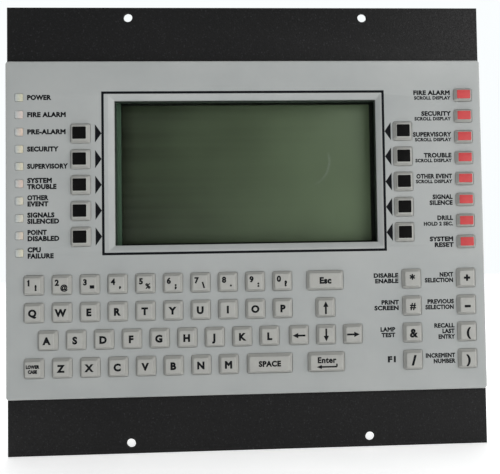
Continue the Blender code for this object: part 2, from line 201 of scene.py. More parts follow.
def fascia_grey():
    """Grey moulded plastic with a fine grain, handling marks and slightly paler edges."""
    look = Look("fascia_grey", (0.36, 0.37, 0.36))
    cloud = look.drift(45.0, detail=4.0, rough=0.6)
    speck = look.ramp(look.cells(7.0), 0.0, 0.035, 0.35, 0.0)
    smear = look.ramp(look.noise(18.0, 5.0, 0.7, (1.0, 1.0, 0.35)), 0.35, 0.7, 0.42, 0.6)
    colour = look.mix(cloud, (0.312, 0.328, 0.325), (0.36, 0.372, 0.366))
    colour = look.mix(speck, colour, (0.19, 0.18, 0.16))
    colour = look.mix(look.worn(0.5), colour, (0.43, 0.43, 0.41))
    return look.finish(colour, smear, (look.noise(0.5, 2.0, 0.6), 0.02), (look.noise(12.0), 0.05))


def key_plastic(name, low, high, worn, shine=0.5):
    """Moulded key plastic, a little cloudy, and paler on its worn edges."""
    look = Look(name, low, specular_ior_level=shine)
    colour = look.mix(look.worn(0.5), look.mix(look.drift(4.0), low, high), worn)
    roughness = look.drift(2.5, 0.4, 0.62, 4.0, 0.7)
    return look.finish(colour, roughness, (look.noise(0.4), 0.012), (look.noise(5.0), 0.03))


def ink(name, colour):
    """Screen-printed ink, slightly uneven and rubbed."""
    look = Look(name, colour, specular_ior_level=0.1)
    thin = look.ramp(look.noise(0.5, 3.0, 0.7), 0.62, 0.8, 0.0, 0.2)
    colour = look.mix(thin, colour, (0.12, 0.12, 0.115))
    return look.finish(colour, look.drift(1.5, 0.45, 0.65, 2.0), (look.noise(0.3), 0.008))


def shroud_plastic():
    """Green-grey plastic, with painted shade that makes it almost black where it meets the fascia."""
    look = Look("shroud_grey", (0.05, 0.065, 0.05))
    # painted shade: the front of the sleeve, next to the fascia, is darkened as shade in the well
    back = look.ramp(look.axis("Y"), (FRONT_Y + 4.6) * MM, (FRONT_Y + 5.2) * MM)
    green = look.mix(look.noise(6.0, 3.0), (0.02, 0.03, 0.022), (0.03, 0.045, 0.032))
    colour = look.mix(back, (0.012, 0.018, 0.013), green)
    return look.finish(colour, look.drift(2.0, 0.4, 0.6, 2.0), (look.noise(0.6), 0.02))


def clear_pane():
    """A clear pane: it mirrors a little and shows finger marks and a curved scratch."""
    look = Look("clear_pane", (0.9, 0.95, 0.9), metallic=1.0)
    marks = look.ramp(look.noise(14.0, 5.0, 0.7), 0.5, 0.8)
    look.set("Roughness", look.ramp(marks, 0.0, 1.0, 0.06, 0.35))
    facing = look.add("ShaderNodeLayerWeight", {"Blend": 0.5}).outputs["Facing"]
    mirror = look.ramp(look.maths("POWER", facing, 5.0), 0.0, 1.0, 0.0, 0.7)
    smear = look.maths("MULTIPLY", scratch(look), look.ramp(look.noise(3.0, 3.0), 0.3, 0.6, 0.04, 0.15))
    solid = look.maths("ADD", mirror, smear)
    clear = look.add("ShaderNodeBsdfTransparent", {"Color": (0.95, 0.98, 0.95, 1.0)})
    mixed = look.add("ShaderNodeMixShader", {"Fac": solid})
    look.wire(mixed.inputs[1], clear.outputs["BSDF"])
    look.wire(mixed.inputs[2], look.shader.outputs["BSDF"])
    look.wire(look.tree.nodes["Material Output"].inputs["Surface"], mixed.outputs["Shader"])
    return look.material


SCRATCH_X, SCRATCH_Z, SCRATCH_R, SCRATCH_W = 29.4, 34.0, 13.2, 1.0


def scratch(look):
    """How near a point is to an arc on the right of the pane."""
    across = look.maths("SUBTRACT", look.axis("X"), SCRATCH_X * MM)
    up = look.maths("SUBTRACT", look.axis("Z"), SCRATCH_Z * MM)
    squares = [look.maths("MULTIPLY", value, value) for value in (across, up)]
    off = look.maths("SUBTRACT", look.maths("SQRT", look.maths("ADD", *squares)), SCRATCH_R * MM)
    line = look.ramp(look.maths("ABSOLUTE", off), 0.0, SCRATCH_W * MM, 1.0, 0.0)
    side = look.ramp(across, 0.3 * SCRATCH_R * MM, 0.8 * SCRATCH_R * MM)
    end = look.ramp(up, 0.1 * SCRATCH_R * MM, 0.4 * SCRATCH_R * MM, 1.0, 0.0)
    return look.maths("MULTIPLY", line, look.maths("MULTIPLY", side, end))


def lcd_face():
    """A switched-off green display with faint level bands, made darker to the left by painted light: a
    painted sheen brightens it towards the right, and a painted shadow darkens its left edge.
    """
    look = Look("lcd_glass", (0.06, 0.08, 0.05), specular_ior_level=0.2)
    # painted sheen: the colour brightens from left to right as if reflecting light from the right, over a
    # random drift of tone
    across = look.ramp(look.axis("X"), LCD.left * MM, LCD.right * MM)
    painted_sheen_and_tone = look.maths("ADD", across, look.drift(35.0, -0.08, 0.08, 2.0))
    green = look.mix(painted_sheen_and_tone, (0.019, 0.022, 0.014), (0.11, 0.133, 0.087))
    # painted shadow: a dark band along the left edge of the view
    inner = look.ramp(look.axis("X"), VIEW_LEFT * MM, (VIEW_LEFT + 7.0) * MM, 0.75, 0.0)
    green = look.mix(inner, green, (0.011, 0.011, 0.008))
    band = look.ramp(look.noise(4.0, 1.0, 0.5, (0.02, 0.02, 1.0)), 0.4, 0.6, 0.0, 0.06)
    colour = look.mix(band, green, (0.12, 0.15, 0.1))
    return look.finish(colour, look.drift(20.0, 0.3, 0.4), (look.noise(50.0), 0.1))


def lamp_lens(name, tint):
    """A milky light pipe whose far side picks up its lamp's colour."""
    look = Look(name, tint, subsurface_weight=0.3, specular_ior_level=0.6)
    look.set("Subsurface Radius", (0.002, 0.002, 0.002))
    across = look.ramp(look.axis("X"), (LAMPS.x - 1.6) * MM, (LAMPS.x + 1.2) * MM)
    colour = look.mix(across, (0.44, 0.47, 0.47), tint)
    return look.finish(colour, look.drift(1.2, 0.2, 0.4), (look.noise(0.8), 0.03))


def painted_steel():
    """Black paint on the display's frame, with a painted highlight: a lit green cast on its left lip, past
    the pane's edge.
    """
    look = Look("black_steel", (0.012, 0.012, 0.012), specular_ior_level=0.12)
    # painted highlight: the left lip, past the pane's edge, is coloured green-grey as if lit from the right
    lip = look.ramp(look.axis("X"), (VIEW_LEFT - 0.1) * MM, VIEW_LEFT * MM, 1.0, 0.0)
    black = look.mix(look.noise(8.0, 3.0), (0.004, 0.005, 0.004), (0.009, 0.01, 0.009))
    colour = look.mix(lip, black, (0.075, 0.115, 0.085))
    return look.finish(colour, look.drift(1.5, 0.35, 0.6, 4.0), (look.noise(0.5), 0.01))


def zinc(name, colour, spangle=6.0):
    """Zinc-plated steel: brushed, with a faint spangle and dull patches."""
    look = Look(name, colour, metallic=1.0)
    patch = look.cells(spangle, output="Color")
    dull = look.ramp(look.noise(25.0, 4.0, 0.65), 0.35, 0.75)
    grey = tuple(c * 0.62 for c in colour)
    tone = look.ramp(look.add("ShaderNodeRGBToBW", {"Color": patch}).outputs["Val"], 0.0, 1.0, 0.0, 0.45)
    colour = look.mix(dull, look.mix(tone, colour, grey), grey)
    brush = look.noise(0.5, 3.0, 0.6, (0.04, 1.0, 1.0))
    roughness = look.ramp(brush, 0.3, 0.7, 0.28, 0.48)
    return look.finish(colour, roughness, (brush, 0.015), (look.noise(30.0), 0.2))


def board_green():
    """Solder mask over copper and weave."""
    look = Look("board_green", (0.02, 0.11, 0.05), specular_ior_level=0.6)
    weave = look.noise(0.6, 2.0)
    copper = look.ramp(look.cells(9.0, "DISTANCE_TO_EDGE"), 0.05, 0.07, 1.0, 0.0)
    colour = look.mix(copper, (0.012, 0.085, 0.035), (0.02, 0.12, 0.05))
    colour = look.mix(look.ramp(weave, 0.3, 0.7, 0.0, 0.3), colour, (0.01, 0.06, 0.03))
    return look.finish(colour, look.drift(5.0, 0.22, 0.4), (copper, 0.03), (weave, 0.01))


def plain(name, low, high, roughness=(0.4, 0.6), size=4.0, grain=0.4, **settings):
    """A material whose colour and roughness wander a little, over a fine grain."""
    look = Look(name, low, **settings)
    colour = look.mix(look.drift(size), low, high)
    return look.finish(colour, look.drift(size / 2, *roughness, 4.0, 0.6), (look.noise(grain), 0.015))


# Meshes ------------------------------------------


def rounded(width, height, radius, x=0.0, z=0.0, steps=5):
    """A rectangle with round corners about (x, z), anticlockwise from its lower right corner."""
    radius = max(radius, 0.01)
    w, h = width / 2 - radius, height / 2 - radius
    points = []
    for corner, (x_side, z_side) in enumerate([(1, -1), (1, 1), (-1, 1), (-1, -1)]):
        for i in range(steps + 1):
            turn = math.pi / 2 * (corner - 1 + i / steps)
            across = x + x_side * w + radius * math.cos(turn)
            up = z + z_side * h + radius * math.sin(turn)
            points.append((across, up))
    return points


def show(thing):
    bpy.context.scene.collection.objects.link(thing)


def new_mesh():
    bm = bmesh.new()
    bm.verts.layers.float.new(EDGE)
    return bm


def circle(radius, x=0.0, z=0.0, sides=32):
    turns = [2 * math.pi * i / sides for i in range(sides)]
    return [(x + radius * math.cos(t), z + radius * math.sin(t)) for t in turns]


def fillet(radius, steps=4):
    """(inset, depth) of a quarter round, from the face to the side."""
    turns = [math.pi / 2 * i / steps for i in range(steps + 1)]
    return [(radius * (1 - math.sin(t)), radius * (1 - math.cos(t))) for t in turns]


def soft_levels(outline, front, back, front_edge=0.3, back_edge=0.2, steps=3):
    """Levels of a solid with rounded edges. outline(inset) gives its outline."""
    levels = [(front + depth, outline(inset)) for inset, depth in fillet(front_edge, steps)]
    levels += [(back - depth, outline(inset)) for inset, depth in reversed(fillet(back_edge, steps))]
    return levels


def straight(outline, front, back):
    """Levels of straight walls."""
    return [(front, outline), (back, outline)]


ROUNDING_STEP = 0.5  # outlines closer than this to both neighbours are part of a rounded edge


def join(bm, loops, slot):
    """Smooth faces between each loop of verts and the next."""
    for near, far in zip(loops, loops[1:]):
        for i in range(len(near)):
            face = bm.faces.new((near[i - 1], near[i], far[i], far[i - 1]))
            face.smooth = True
            face.material_index = slot


def add_loft(bm, loops, slot=0):
    """A closed solid through loops of equally many (x, depth, z) points."""
    loops = [[bm.verts.new(point) for point in loop] for loop in loops]
    join(bm, loops, slot)
    for loop in (loops[0], loops[-1]):
        bm.faces.new(loop).material_index = slot


def add_walls(bm, levels, slot=0):
    """Walls through outlines of equally many points, each (depth, outline). Returns both ends."""
    loops = [[bm.verts.new((x, depth, z)) for x, z in outline] for depth, outline in levels]
    edge = bm.verts.layers.float[EDGE]
    for before, loop, after in zip(loops, loops[1:], loops[2:]):
        steps = [(loop[0].co - other[0].co).length for other in (before, after)]
        if max(steps) < ROUNDING_STEP:
            for vert in loop:
                vert[edge] = 1.0
    join(bm, loops, slot)
    return loops[0], loops[-1]


def add_stack(bm, levels, slot=0):
    """A closed solid through outlines of equally many points."""
    for loop in add_walls(bm, levels, slot):
        face = bm.faces.new(loop)
        face.material_index = slot


def add_box(bm, width, height, front, back, x=0.0, z=0.0, edge=0.15, radius=0.2, slot=0, steps=2):
    """A block with rounded edges about (x, z), between two depths."""
    def outline(inset):
        return rounded(width - 2 * inset, height - 2 * inset, radius - inset / 2, x, z, steps)
    add_stack(bm, soft_levels(outline, front, back, edge, edge, steps), slot)


def add_disc(bm, radius, front, back, x=0.0, z=0.0, edge=0.15, slot=0, sides=32):
    def outline(inset):
        return circle(radius - inset, x, z, sides)
    add_stack(bm, soft_levels(outline, front, back, edge, edge), slot)


def add_sheet(bm, edges, slot=0):
    """A sheet with holes. edges are the levels of its rim, then of each hole."""
    ends = [add_walls(bm, levels, slot) for levels in edges]
    for loops in zip(*ends):
        verts = [vert for loop in loops for vert in loop]
        flat = [[Vector((vert.co.x, vert.co.z, 0.0)) for vert in loop] for loop in loops]
        for corners in geometry.tessellate_polygon(flat):
            face = bm.faces.new([verts[i] for i in corners])
            face.material_index = slot


def add_piece(name, bm, looks, body="panel", replaces=(), sharp=42):
    """A piece from bm, riding on a CAD body. It stands for the CAD nodes in replaces."""
    for vert in bm.verts:
        vert.co = Vector((vert.co.x, vert.co.y + FRONT_Y, vert.co.z)) * MM
    bmesh.ops.recalc_face_normals(bm, faces=bm.faces)
    mesh = bpy.data.meshes.new(name)
    bm.to_mesh(mesh)
    bm.free()
    for look in looks if isinstance(looks, (list, tuple)) else [looks]:
        mesh.materials.append(look)
    mesh.set_sharp_from_angle(angle=math.radians(sharp))
    piece = bpy.data.objects.new(name, mesh)
    show(piece)
    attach(piece, body)
    if replaces:
        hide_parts(*replaces)
    return piece


# Print -------------------------------------------

PRINT_T = 0.05  # thickness of the ink, half of it sunk
CAP_SHARE = 0.682  # a capital's height in the built-in font, as a share of its size
BOLD = 0.065  # how far bold outlines grow, as a share of the capital's height


def add_text(bm, words, x, z, depth, cap, align="CENTER", width=1.0, bold=BOLD):
    """Words about height z, their capitals cap high, stretched by width or to the width they are printed
    at. A flattened bevel makes them bold."""
    curve = bpy.data.curves.new("words", "FONT")
    curve.body = words
    curve.size = cap / CAP_SHARE
    curve.align_x = align
    curve.bevel_depth = bold * cap
    curve.bevel_resolution = 0
    curve.space_character = 1.08
    curve.resolution_u = 3
    holder = bpy.data.objects.new("words", curve)
    show(holder)
    mesh = bpy.data.meshes.new_from_object(holder.evaluated_get(bpy.context.evaluated_depsgraph_get()))
    across = [vert.co.x for vert in mesh.vertices]
    if words in WORD_WIDTHS:
        width = WORD_WIDTHS[words] / (max(across) - min(across))
    flat = PRINT_T / (2 * bold * cap)
    facing = Matrix(((width, 0, 0, x), (0, 0, -flat, depth), (0, 1, 0, z - cap / 2), (0, 0, 0, 1)))
    mesh.transform(facing)
    bm.from_mesh(mesh)
    bpy.data.meshes.remove(mesh)
    bpy.data.objects.remove(holder)
    bpy.data.curves.remove(curve)


def add_patch(bm, outline, depth):
    """A printed area."""
    add_stack(bm, straight(outline, depth - PRINT_T / 2, depth + PRINT_T / 2))


def arrow_outline(x, z, length, direction, shaft=0.9, head=2.7, head_length=2.8):
    """A thin arrow with a long solid head, about (x, z). direction is (x, z)."""
    along, across = Vector(direction), Vector((-direction[1], direction[0]))
    shape = [(-0.5 * length, shaft / 2), (-0.5 * length, -shaft / 2)]
    shape += [(0.5 * length - head_length, -shaft / 2), (0.5 * length - head_length, -head / 2)]
    shape += [(0.5 * length, 0.0)]
    shape += [(0.5 * length - head_length, head / 2), (0.5 * length - head_length, shaft / 2)]
    return [tuple(Vector((x, z)) + along * u + across * v) for u, v in shape]


# Keys --------------------------------------------

KEY_PITCH = 13.75
KEY_SIZE = 9.0
KEY_LIP = {"key_grey": 1.1, "key_red": 0.95}  # how far a lip reaches past its cap
HOLE_CLEAR = {"key_grey": 0.5, "key_red": 0.4}  # from a cap's side to the edge of its hole
KEY_DRAFT, KEY_RADIUS, KEY_FILLET, KEY_CROWN = 0.75, 0.7, 0.4, 0.03
SKIRT_GAP, SKIRT_DEPTH = 0.14, 0.12  # a cap flares out until it almost fills its hole
CROWN_RINGS = (0.12, 0.4, 0.65, 0.85)
PAD_RISE = 0.12
PLATE_FRONT = CHASSIS.front
LIP_T = 1.0


def cap_levels(width, height, x, z, foot, clear, rise=KEY_RISE):
    """A key's cap: a crowned face, a round shoulder, leaning sides and a flared skirt."""
    skirt = clear - SKIRT_GAP
    def outline(reach, radius=KEY_RADIUS):
        return rounded(width + 2 * reach, height + 2 * reach, radius, x, z)
    levels = []
    face = -KEY_DRAFT - KEY_FILLET
    for share in CROWN_RINGS:
        ring = rounded((width + 2 * face) * share, (height + 2 * face) * share, 0.4 * share, x, z)
        levels.append((-rise + KEY_CROWN * share ** 2, ring))
    top = -rise + KEY_CROWN
    levels += [(top + depth, outline(-KEY_DRAFT - inset)) for inset, depth in fillet(KEY_FILLET, 5)]
    levels += [(-0.35, outline(0.0)), (-0.1, outline(skirt * 0.6)), (SKIRT_DEPTH, outline(skirt, 0.9))]
    return levels + [(foot, outline(skirt, 0.9))]


def key_mesh(span, columns=1, slot="key_grey", rise=KEY_RISE):
    """A key, or a row of keys on one strip, in the space of its CAD node."""
    bm, reach, clear = new_mesh(), 2 * KEY_LIP[slot], HOLE_CLEAR[slot]
    lip = straight(rounded(span.w, span.h, 1.2, span.x, span.z), PLATE_FRONT, span.back)
    if columns == 1:
        cap = cap_levels(span.w - reach, span.h - reach, span.x, span.z, PLATE_FRONT, clear, rise)
        add_stack(bm, cap + lip)
        return bm
    add_stack(bm, lip)
    for x in columns_of(span, columns):
        add_stack(bm, cap_levels(KEY_SIZE, KEY_SIZE, x, span.z, PLATE_FRONT + LIP_T / 2, clear))
    return bm


def columns_of(span, columns):
    return [span.x + (i - (columns - 1) / 2) * KEY_PITCH for i in range(columns)]


def add_key(node, looks, columns=1):
    return add_piece(node + "_cap", key_mesh(Span(node), columns), looks, node, [node])


def add_capped_key(node, looks, slot, width, height):
    """A grey key whose face carries a coloured pad. looks are the grey and the pad's look."""
    span = Span(node)
    bm = key_mesh(span, 1, slot, KEY_RISE - PAD_RISE)
    add_box(bm, width, height, -KEY_RISE, -KEY_RISE + 3 * PAD_RISE, span.x, span.z, 0.12, 0.45, 1, 3)
    return add_piece(node + "_cap", bm, looks, node, [node])


DIGIT_CAP, SYMBOL_CAP, LETTER_CAP = 2.7, 2.4, 3.3
DIGIT_SHIFT_X, DIGIT_SHIFT_Z = 1.7, 1.2
SIGN_LIFT = {",": 0.7, ".": 0.5}  # small signs sit low in the font


def add_legend(bm, words, x, z, cap, width=1.0, bold=BOLD):
    add_text(bm, words, x, z, -KEY_RISE, cap, "CENTER", width, bold)


def add_legends(node, print_look, draw, columns=1):
    """One legend mesh for a key or a row. draw(bm, x, z, column) adds each key's legend."""
    span, bm = Span(node), new_mesh()
    for column, x in enumerate(columns_of(span, columns)):
        draw(bm, x, span.z, column)
    return add_piece(node + "_legend", bm, print_look, node)


def letters(words, cap=LETTER_CAP, width=1.0, bold=0.085):
    """Draws one item of words in the middle of each key."""
    def draw(bm, x, z, column):
        add_legend(bm, words[column], x, z, cap, width, bold)
    return draw


def digits(bm, x, z, column):
    """A digit on the upper left of its key and a sign on the lower right. The font's 1 has no flag."""
    left, top = x - DIGIT_SHIFT_X, z + DIGIT_SHIFT_Z
    add_legend(bm, "1234567890"[column], left, top, DIGIT_CAP, bold=0.08)
    sign = "!@=,%;\\.:?"[column]
    low = z - DIGIT_SHIFT_Z + SIGN_LIFT.get(sign, 0.0)
    add_legend(bm, sign, x + DIGIT_SHIFT_X, low, SYMBOL_CAP, bold=0.07 if sign in "@%" else 0.12)
    if column == 0:
        flag = [(-0.8, -0.9), (-0.1, -0.5), (-0.1, 0.0), (-0.8, -0.5)]
        add_patch(bm, [(left + u, top + DIGIT_CAP / 2 + v) for u, v in flag], -KEY_RISE)


def arrow(direction):
    def draw(bm, x, z, column):
        add_patch(bm, arrow_outline(x, z, 6.4, direction), -KEY_RISE)
    return draw


def lower_case(bm, x, z, column):
    for words, lift in (("LOWER", 1.2), ("CASE", -1.2)):
        add_legend(bm, words, x, z + lift, 1.5, 0.8, 0.12)


def enter(bm, x, z, column):
    """The word, and under it an arrow to the left with an upturned tail."""
    add_legend(bm, "Enter", x, z + 1.2, 2.7)
    length, low, tail, line = 10.2, z - 2.2, 1.5, 0.75
    add_patch(bm, arrow_outline(x, low, length, (-1, 0), line, 2.0, 2.6), -KEY_RISE)
    end = x + length / 2
    add_patch(bm, rounded(line, tail, 0.05, end, low + tail / 2), -KEY_RISE)


SQUARE_W, SQUARE_H = 6.7, 6.2
RED_PAD_W, RED_PAD_H = 6.9, 4.4


def keyboard(grey, print_look):
    """The letter and digit rows, the arrows and the long keys, each with its legend."""
    rows = {
        "key_row_digits": digits,
        "key_row_q": letters("QWERTYUIOP"),
        "key_row_a": letters("ASDFGHJKL"),
        "key_row_z": letters("ZXCVBNM"),
    }
    for (node, draw), count in zip(rows.items(), (10, 10, 9, 7)):
        add_key(node, grey, columns=count)
        add_legends(node, print_look, draw, count)
    singles = {
        "key_escape": letters(["Esc"], 2.9),
        "key_up": arrow((0, 1)),
        "key_left": arrow((-1, 0)),
        "key_down": arrow((0, -1)),
        "key_right": arrow((1, 0)),
        "key_lower_case": lower_case,
        "key_space": letters(["SPACE"], 2.5),
        "key_enter": enter,
        "pad_key_disable_enable": letters("*", 4.0, bold=0.05),
        "pad_key_print_screen": letters("#", 3.3, bold=0.05),
        "pad_key_lamp_test": letters("&", 4.0, bold=0.06),
        "pad_key_f1": letters("/", 4.4),
        "pad_key_next_selection": letters("+", 3.8),
        "pad_key_previous_selection": letters("-", 4.0, 1.5),
        "pad_key_recall_last_entry": letters("(", 3.9),
        "pad_key_increment_number": letters(")", 3.9),
    }
    for node, draw in singles.items():
        add_key(node, grey)
        add_legends(node, print_look, draw)


def numbered(prefix):
    """The CAD nodes whose names begin with prefix, in order."""
    return sorted(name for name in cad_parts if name.startswith(prefix))


def side_keys(grey, red, black):
    for node in numbered("soft_key_"):
        add_capped_key(node, [grey, black], "key_grey", SQUARE_W, SQUARE_H)
    for node in numbered("red_key_"):
        add_capped_key(node, [grey, red], "key_red", RED_PAD_W, RED_PAD_H)


# Fascia ------------------------------------------

RIM_ROUND, HOLE_ROUND = 0.9, 0.15
BEVEL = [(2.9, 0.0), (2.6, 0.08), (2.3, 0.25), (0.5, 1.38), (0.2, 1.58), (0.0, 1.9)]
LAMPS = Span("lamp_lens_strip")
LAMP_SIZE, LAMP_PITCH, LAMP_COUNT = 3.8, 8.68, 10
LAMP_Z = LAMPS.z + (LAMP_COUNT - 1) * LAMP_PITCH / 2


def hole_levels(width, height, x, z, edge=HOLE_ROUND, radius=1.1):
    """Levels of a hole through the fascia, with a rounded front edge."""
    levels = []
    for inset, depth in reversed(fillet(edge, 3)):
        grow = 2 * (edge - inset)
        levels.append((edge - depth, rounded(width + grow, height + grow, radius + grow / 2, x, z)))
    return levels + [(FASCIA.back, rounded(width, height, radius, x, z))]


def key_holes():
    holes = []
    rows = {"key_row_digits": 10, "key_row_q": 10, "key_row_a": 9, "key_row_z": 7}
    moving = [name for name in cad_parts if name.startswith(("key_", "pad_", "soft_", "red_"))]
    for node in sorted(moving):
        span = Span(node)
        slot = "key_red" if node.startswith("red_") else "key_grey"
        spread = (rows.get(node, 1) - 1) * KEY_PITCH
        clear = 2 * (KEY_LIP[slot] - HOLE_CLEAR[slot])
        for x in columns_of(span, rows.get(node, 1)):
            holes.append(hole_levels(span.w - spread - clear, span.h - clear, x, span.z))
    return holes


def fascia(grey):
    """The grey front: rounded rim, bevelled display opening, and a hole for each key and lamp."""
    def rim(inset):
        return rounded(FASCIA.w - 2 * inset, FASCIA.h - 2 * inset, 1.6 - inset)
    bm = new_mesh()
    opening = [
        (depth, rounded(OPENING_W + 2 * grow, OPENING_H + 2 * grow, 0.3 + grow / 6, OPENING_X, OPENING_Z))
        for grow, depth in BEVEL + [(0.0, FASCIA.back)]
    ]
    lamps = [
        hole_levels(LAMP_SIZE + 0.12, LAMP_SIZE + 0.12, LAMPS.x, LAMP_Z - i * LAMP_PITCH, 0.2, 0.5)
        for i in range(LAMP_COUNT)
    ]
    rim_levels = soft_levels(rim, FASCIA.front, FASCIA.back, RIM_ROUND, 0.2, 5)
    add_sheet(bm, [rim_levels, opening] + lamps + key_holes())
    return add_piece("fascia_front", bm, grey, replaces=["fascia"])


LINE_W = 1.25
LINE_LEFT, LINE_RIGHT, LINE_TOP, LINE_BOTTOM = -72.7, 69.95, 68.6, -12.95
POINTER_W, POINTER_H = 3.2, 9.2
LABEL_CAP, LABEL_PITCH = 2.2, 3.1
PAD_LABEL_GAP = {"disable_enable": 1.2, "print_screen": 1.2, "lamp_test": 3.4, "f1": 2.6}
# how wide each word is printed
WORD_WIDTHS = {
    "POWER": 12.0, "FIRE ALARM": 19.1, "PRE-ALARM": 19.0, "SECURITY": 15.6, "SUPERVISORY": 20.2,
    "SYSTEM": 12.2, "TROUBLE": 14.5, "OTHER": 10.5, "EVENT": 10.3, "SIGNALS": 13.4, "SILENCED": 15.7,
    "POINT": 9.5, "DISABLED": 15.6, "CPU": 6.6, "FAILURE": 12.8, "OTHER EVENT": 18.6, "SIGNAL": 10.4,
    "SILENCE": 12.0, "DRILL": 8.2, "HOLD 2 SEC.": 15.2, "RESET": 9.9, "SCROLL DISPLAY": 19.1,
    "DISABLE": 12.7, "ENABLE": 12.0, "PRINT": 9.0, "SCREEN": 12.5, "LAMP": 7.6, "TEST": 7.1, "F1": 4.1,
    "NEXT": 7.1, "SELECTION": 14.7, "PREVIOUS": 13.7, "RECALL": 10.5, "LAST": 6.3, "ENTRY": 8.6,
    "INCREMENT": 15.2, "NUMBER": 11.4,
}
LAMP_LABELS = [
    ["POWER"], ["FIRE ALARM"], ["PRE-ALARM"], ["SECURITY"], ["SUPERVISORY"], ["SYSTEM", "TROUBLE"],
    ["OTHER", "EVENT"], ["SIGNALS", "SILENCED"], ["POINT", "DISABLED"], ["CPU", "FAILURE"],
]
SCROLL = "SCROLL DISPLAY"
LINE_CAPS = {SCROLL: 1.6, "HOLD 2 SEC.": 1.75, "F1": 2.7}
RED_LABELS = {
    "fire_alarm": ["FIRE ALARM", SCROLL],
    "security": ["SECURITY", SCROLL],
    "supervisory": ["SUPERVISORY", SCROLL],
    "trouble": ["TROUBLE", SCROLL],
    "other_event": ["OTHER EVENT", SCROLL],
    "signal_silence": ["SIGNAL", "SILENCE"],
    "drill": ["DRILL", "HOLD 2 SEC."],
    "system_reset": ["SYSTEM", "RESET"],
}
PAD_LABELS = {
    "disable_enable": ["DISABLE", "ENABLE"],
    "print_screen": ["PRINT", "SCREEN"],
    "lamp_test": ["LAMP", "TEST"],
    "f1": ["F1"],
    "next_selection": ["NEXT", "SELECTION"],
    "previous_selection": ["PREVIOUS", "SELECTION"],
    "recall_last_entry": ["RECALL", "LAST", "ENTRY"],
    "increment_number": ["INCREMENT", "NUMBER"],
}


def add_label(bm, lines, x, z, align, cap=LABEL_CAP, pitch=LABEL_PITCH, bold=0.085):
    """Lines of print about z, against x."""
    for i, words in enumerate(lines):
        size = LINE_CAPS.get(words, cap)
        height = z + ((len(lines) - 1) / 2 - i) * pitch
        add_text(bm, words, x, height, 0.0, size, align, bold=bold)


def fascia_print(print_look):
    """The line round the display, a pointer by each soft key, and the labels."""
    bm = new_mesh()
    x, z = (LINE_LEFT + LINE_RIGHT) / 2, (LINE_TOP + LINE_BOTTOM) / 2
    width, height = LINE_RIGHT - LINE_LEFT, LINE_TOP - LINE_BOTTOM
    faces = (-PRINT_T / 2, PRINT_T / 2)
    ring = [rounded(width + line, height + line, 0.2, x, z) for line in (LINE_W, -LINE_W)]
    add_sheet(bm, [straight(outline, *faces) for outline in ring])
    for side, edge in ((-1, LINE_LEFT), (1, LINE_RIGHT)):
        for node in numbered("soft_key_" + ("left" if side < 0 else "right")):
            tip, z = edge + side * LINE_W / 2, Span(node).z
            back = tip + side * POINTER_W
            add_patch(bm, [(tip, z), (back, z + POINTER_H / 2), (back, z - POINTER_H / 2)], 0.0)
    for i, lines in enumerate(LAMP_LABELS):
        add_label(bm, lines, LAMPS.x + 4.0, LAMP_Z - i * LAMP_PITCH, "LEFT", bold=0.09)
    for name, lines in RED_LABELS.items():
        span = Span("red_key_" + name)
        pitch = 2.7 if lines[-1] == SCROLL else 3.0
        add_label(bm, lines, span.left - 1.2, span.z, "RIGHT", 2.1, pitch)
    for name, lines in PAD_LABELS.items():
        span = Span("pad_key_" + name)
        gap = PAD_LABEL_GAP.get(name, 0.9)
        add_label(bm, lines, span.left - gap, span.z + 0.4, "RIGHT", 2.0, 2.85)
    return add_piece("fascia_print", bm, print_look)


LAMP_TINTS = [
    (0.54, 0.53, 0.4), (0.57, 0.49, 0.45), (0.6, 0.49, 0.41), (0.58, 0.54, 0.41), (0.57, 0.54, 0.42),
    (0.6, 0.49, 0.43), (0.56, 0.53, 0.43), (0.55, 0.53, 0.45), (0.57, 0.5, 0.42), (0.56, 0.54, 0.43),
]


def lamps():
    """The bar of light pipes behind the fascia, and a lens for each lamp."""
    bm = new_mesh()
    add_box(bm, LAMPS.w, LAMPS.h, PLATE_FRONT, LAMPS.back, LAMPS.x, LAMPS.z)
    add_piece("lamp_bar", bm, lamp_lens("lamp_bar", (0.6, 0.6, 0.55)))
    for i, tint in enumerate(LAMP_TINTS):
        bm = new_mesh()
        z = LAMP_Z - i * LAMP_PITCH
        add_box(bm, LAMP_SIZE, LAMP_SIZE, LAMPS.front, PLATE_FRONT, LAMPS.x, z, 0.35, 0.5, steps=4)
        name = f"lamp_lens_{i + 1}"
        add_piece(name, bm, lamp_lens(name, tint), replaces=["lamp_lens_strip"])


# Display -----------------------------------------


def display():
    """The sleeve round the display, its clear pane, the black frame and the display's glass."""
    bm = new_mesh()
    rim = rounded(SHROUD.w, SHROUD.h, 1.0, SHROUD.x, SHROUD.z)
    hole = rounded(OPENING_W, OPENING_H, 0.3, OPENING_X, OPENING_Z)
    add_sheet(bm, [straight(outline, SHROUD.front, SHROUD.back) for outline in (rim, hole)])
    add_piece("display_sleeve", bm, shroud_plastic(), replaces=["display_shroud"])
    bm = new_mesh()
    add_box(bm, PANE.w, PANE.h, PANE.front, PANE.back, PANE.x, PANE.z, 0.1, 0.6)
    add_piece("display_pane", bm, clear_pane(), replaces=["display_window"])
    add_piece("display_frame", lcd_frame_mesh(), painted_steel(), replaces=["lcd_frame"])
    bm = new_mesh()
    add_box(bm, LCD.w, LCD.h, LCD.front, LCD.back, LCD.x, LCD.z, 0.1, 0.4)
    add_piece("display_glass", bm, lcd_face(), replaces=["lcd_glass"])


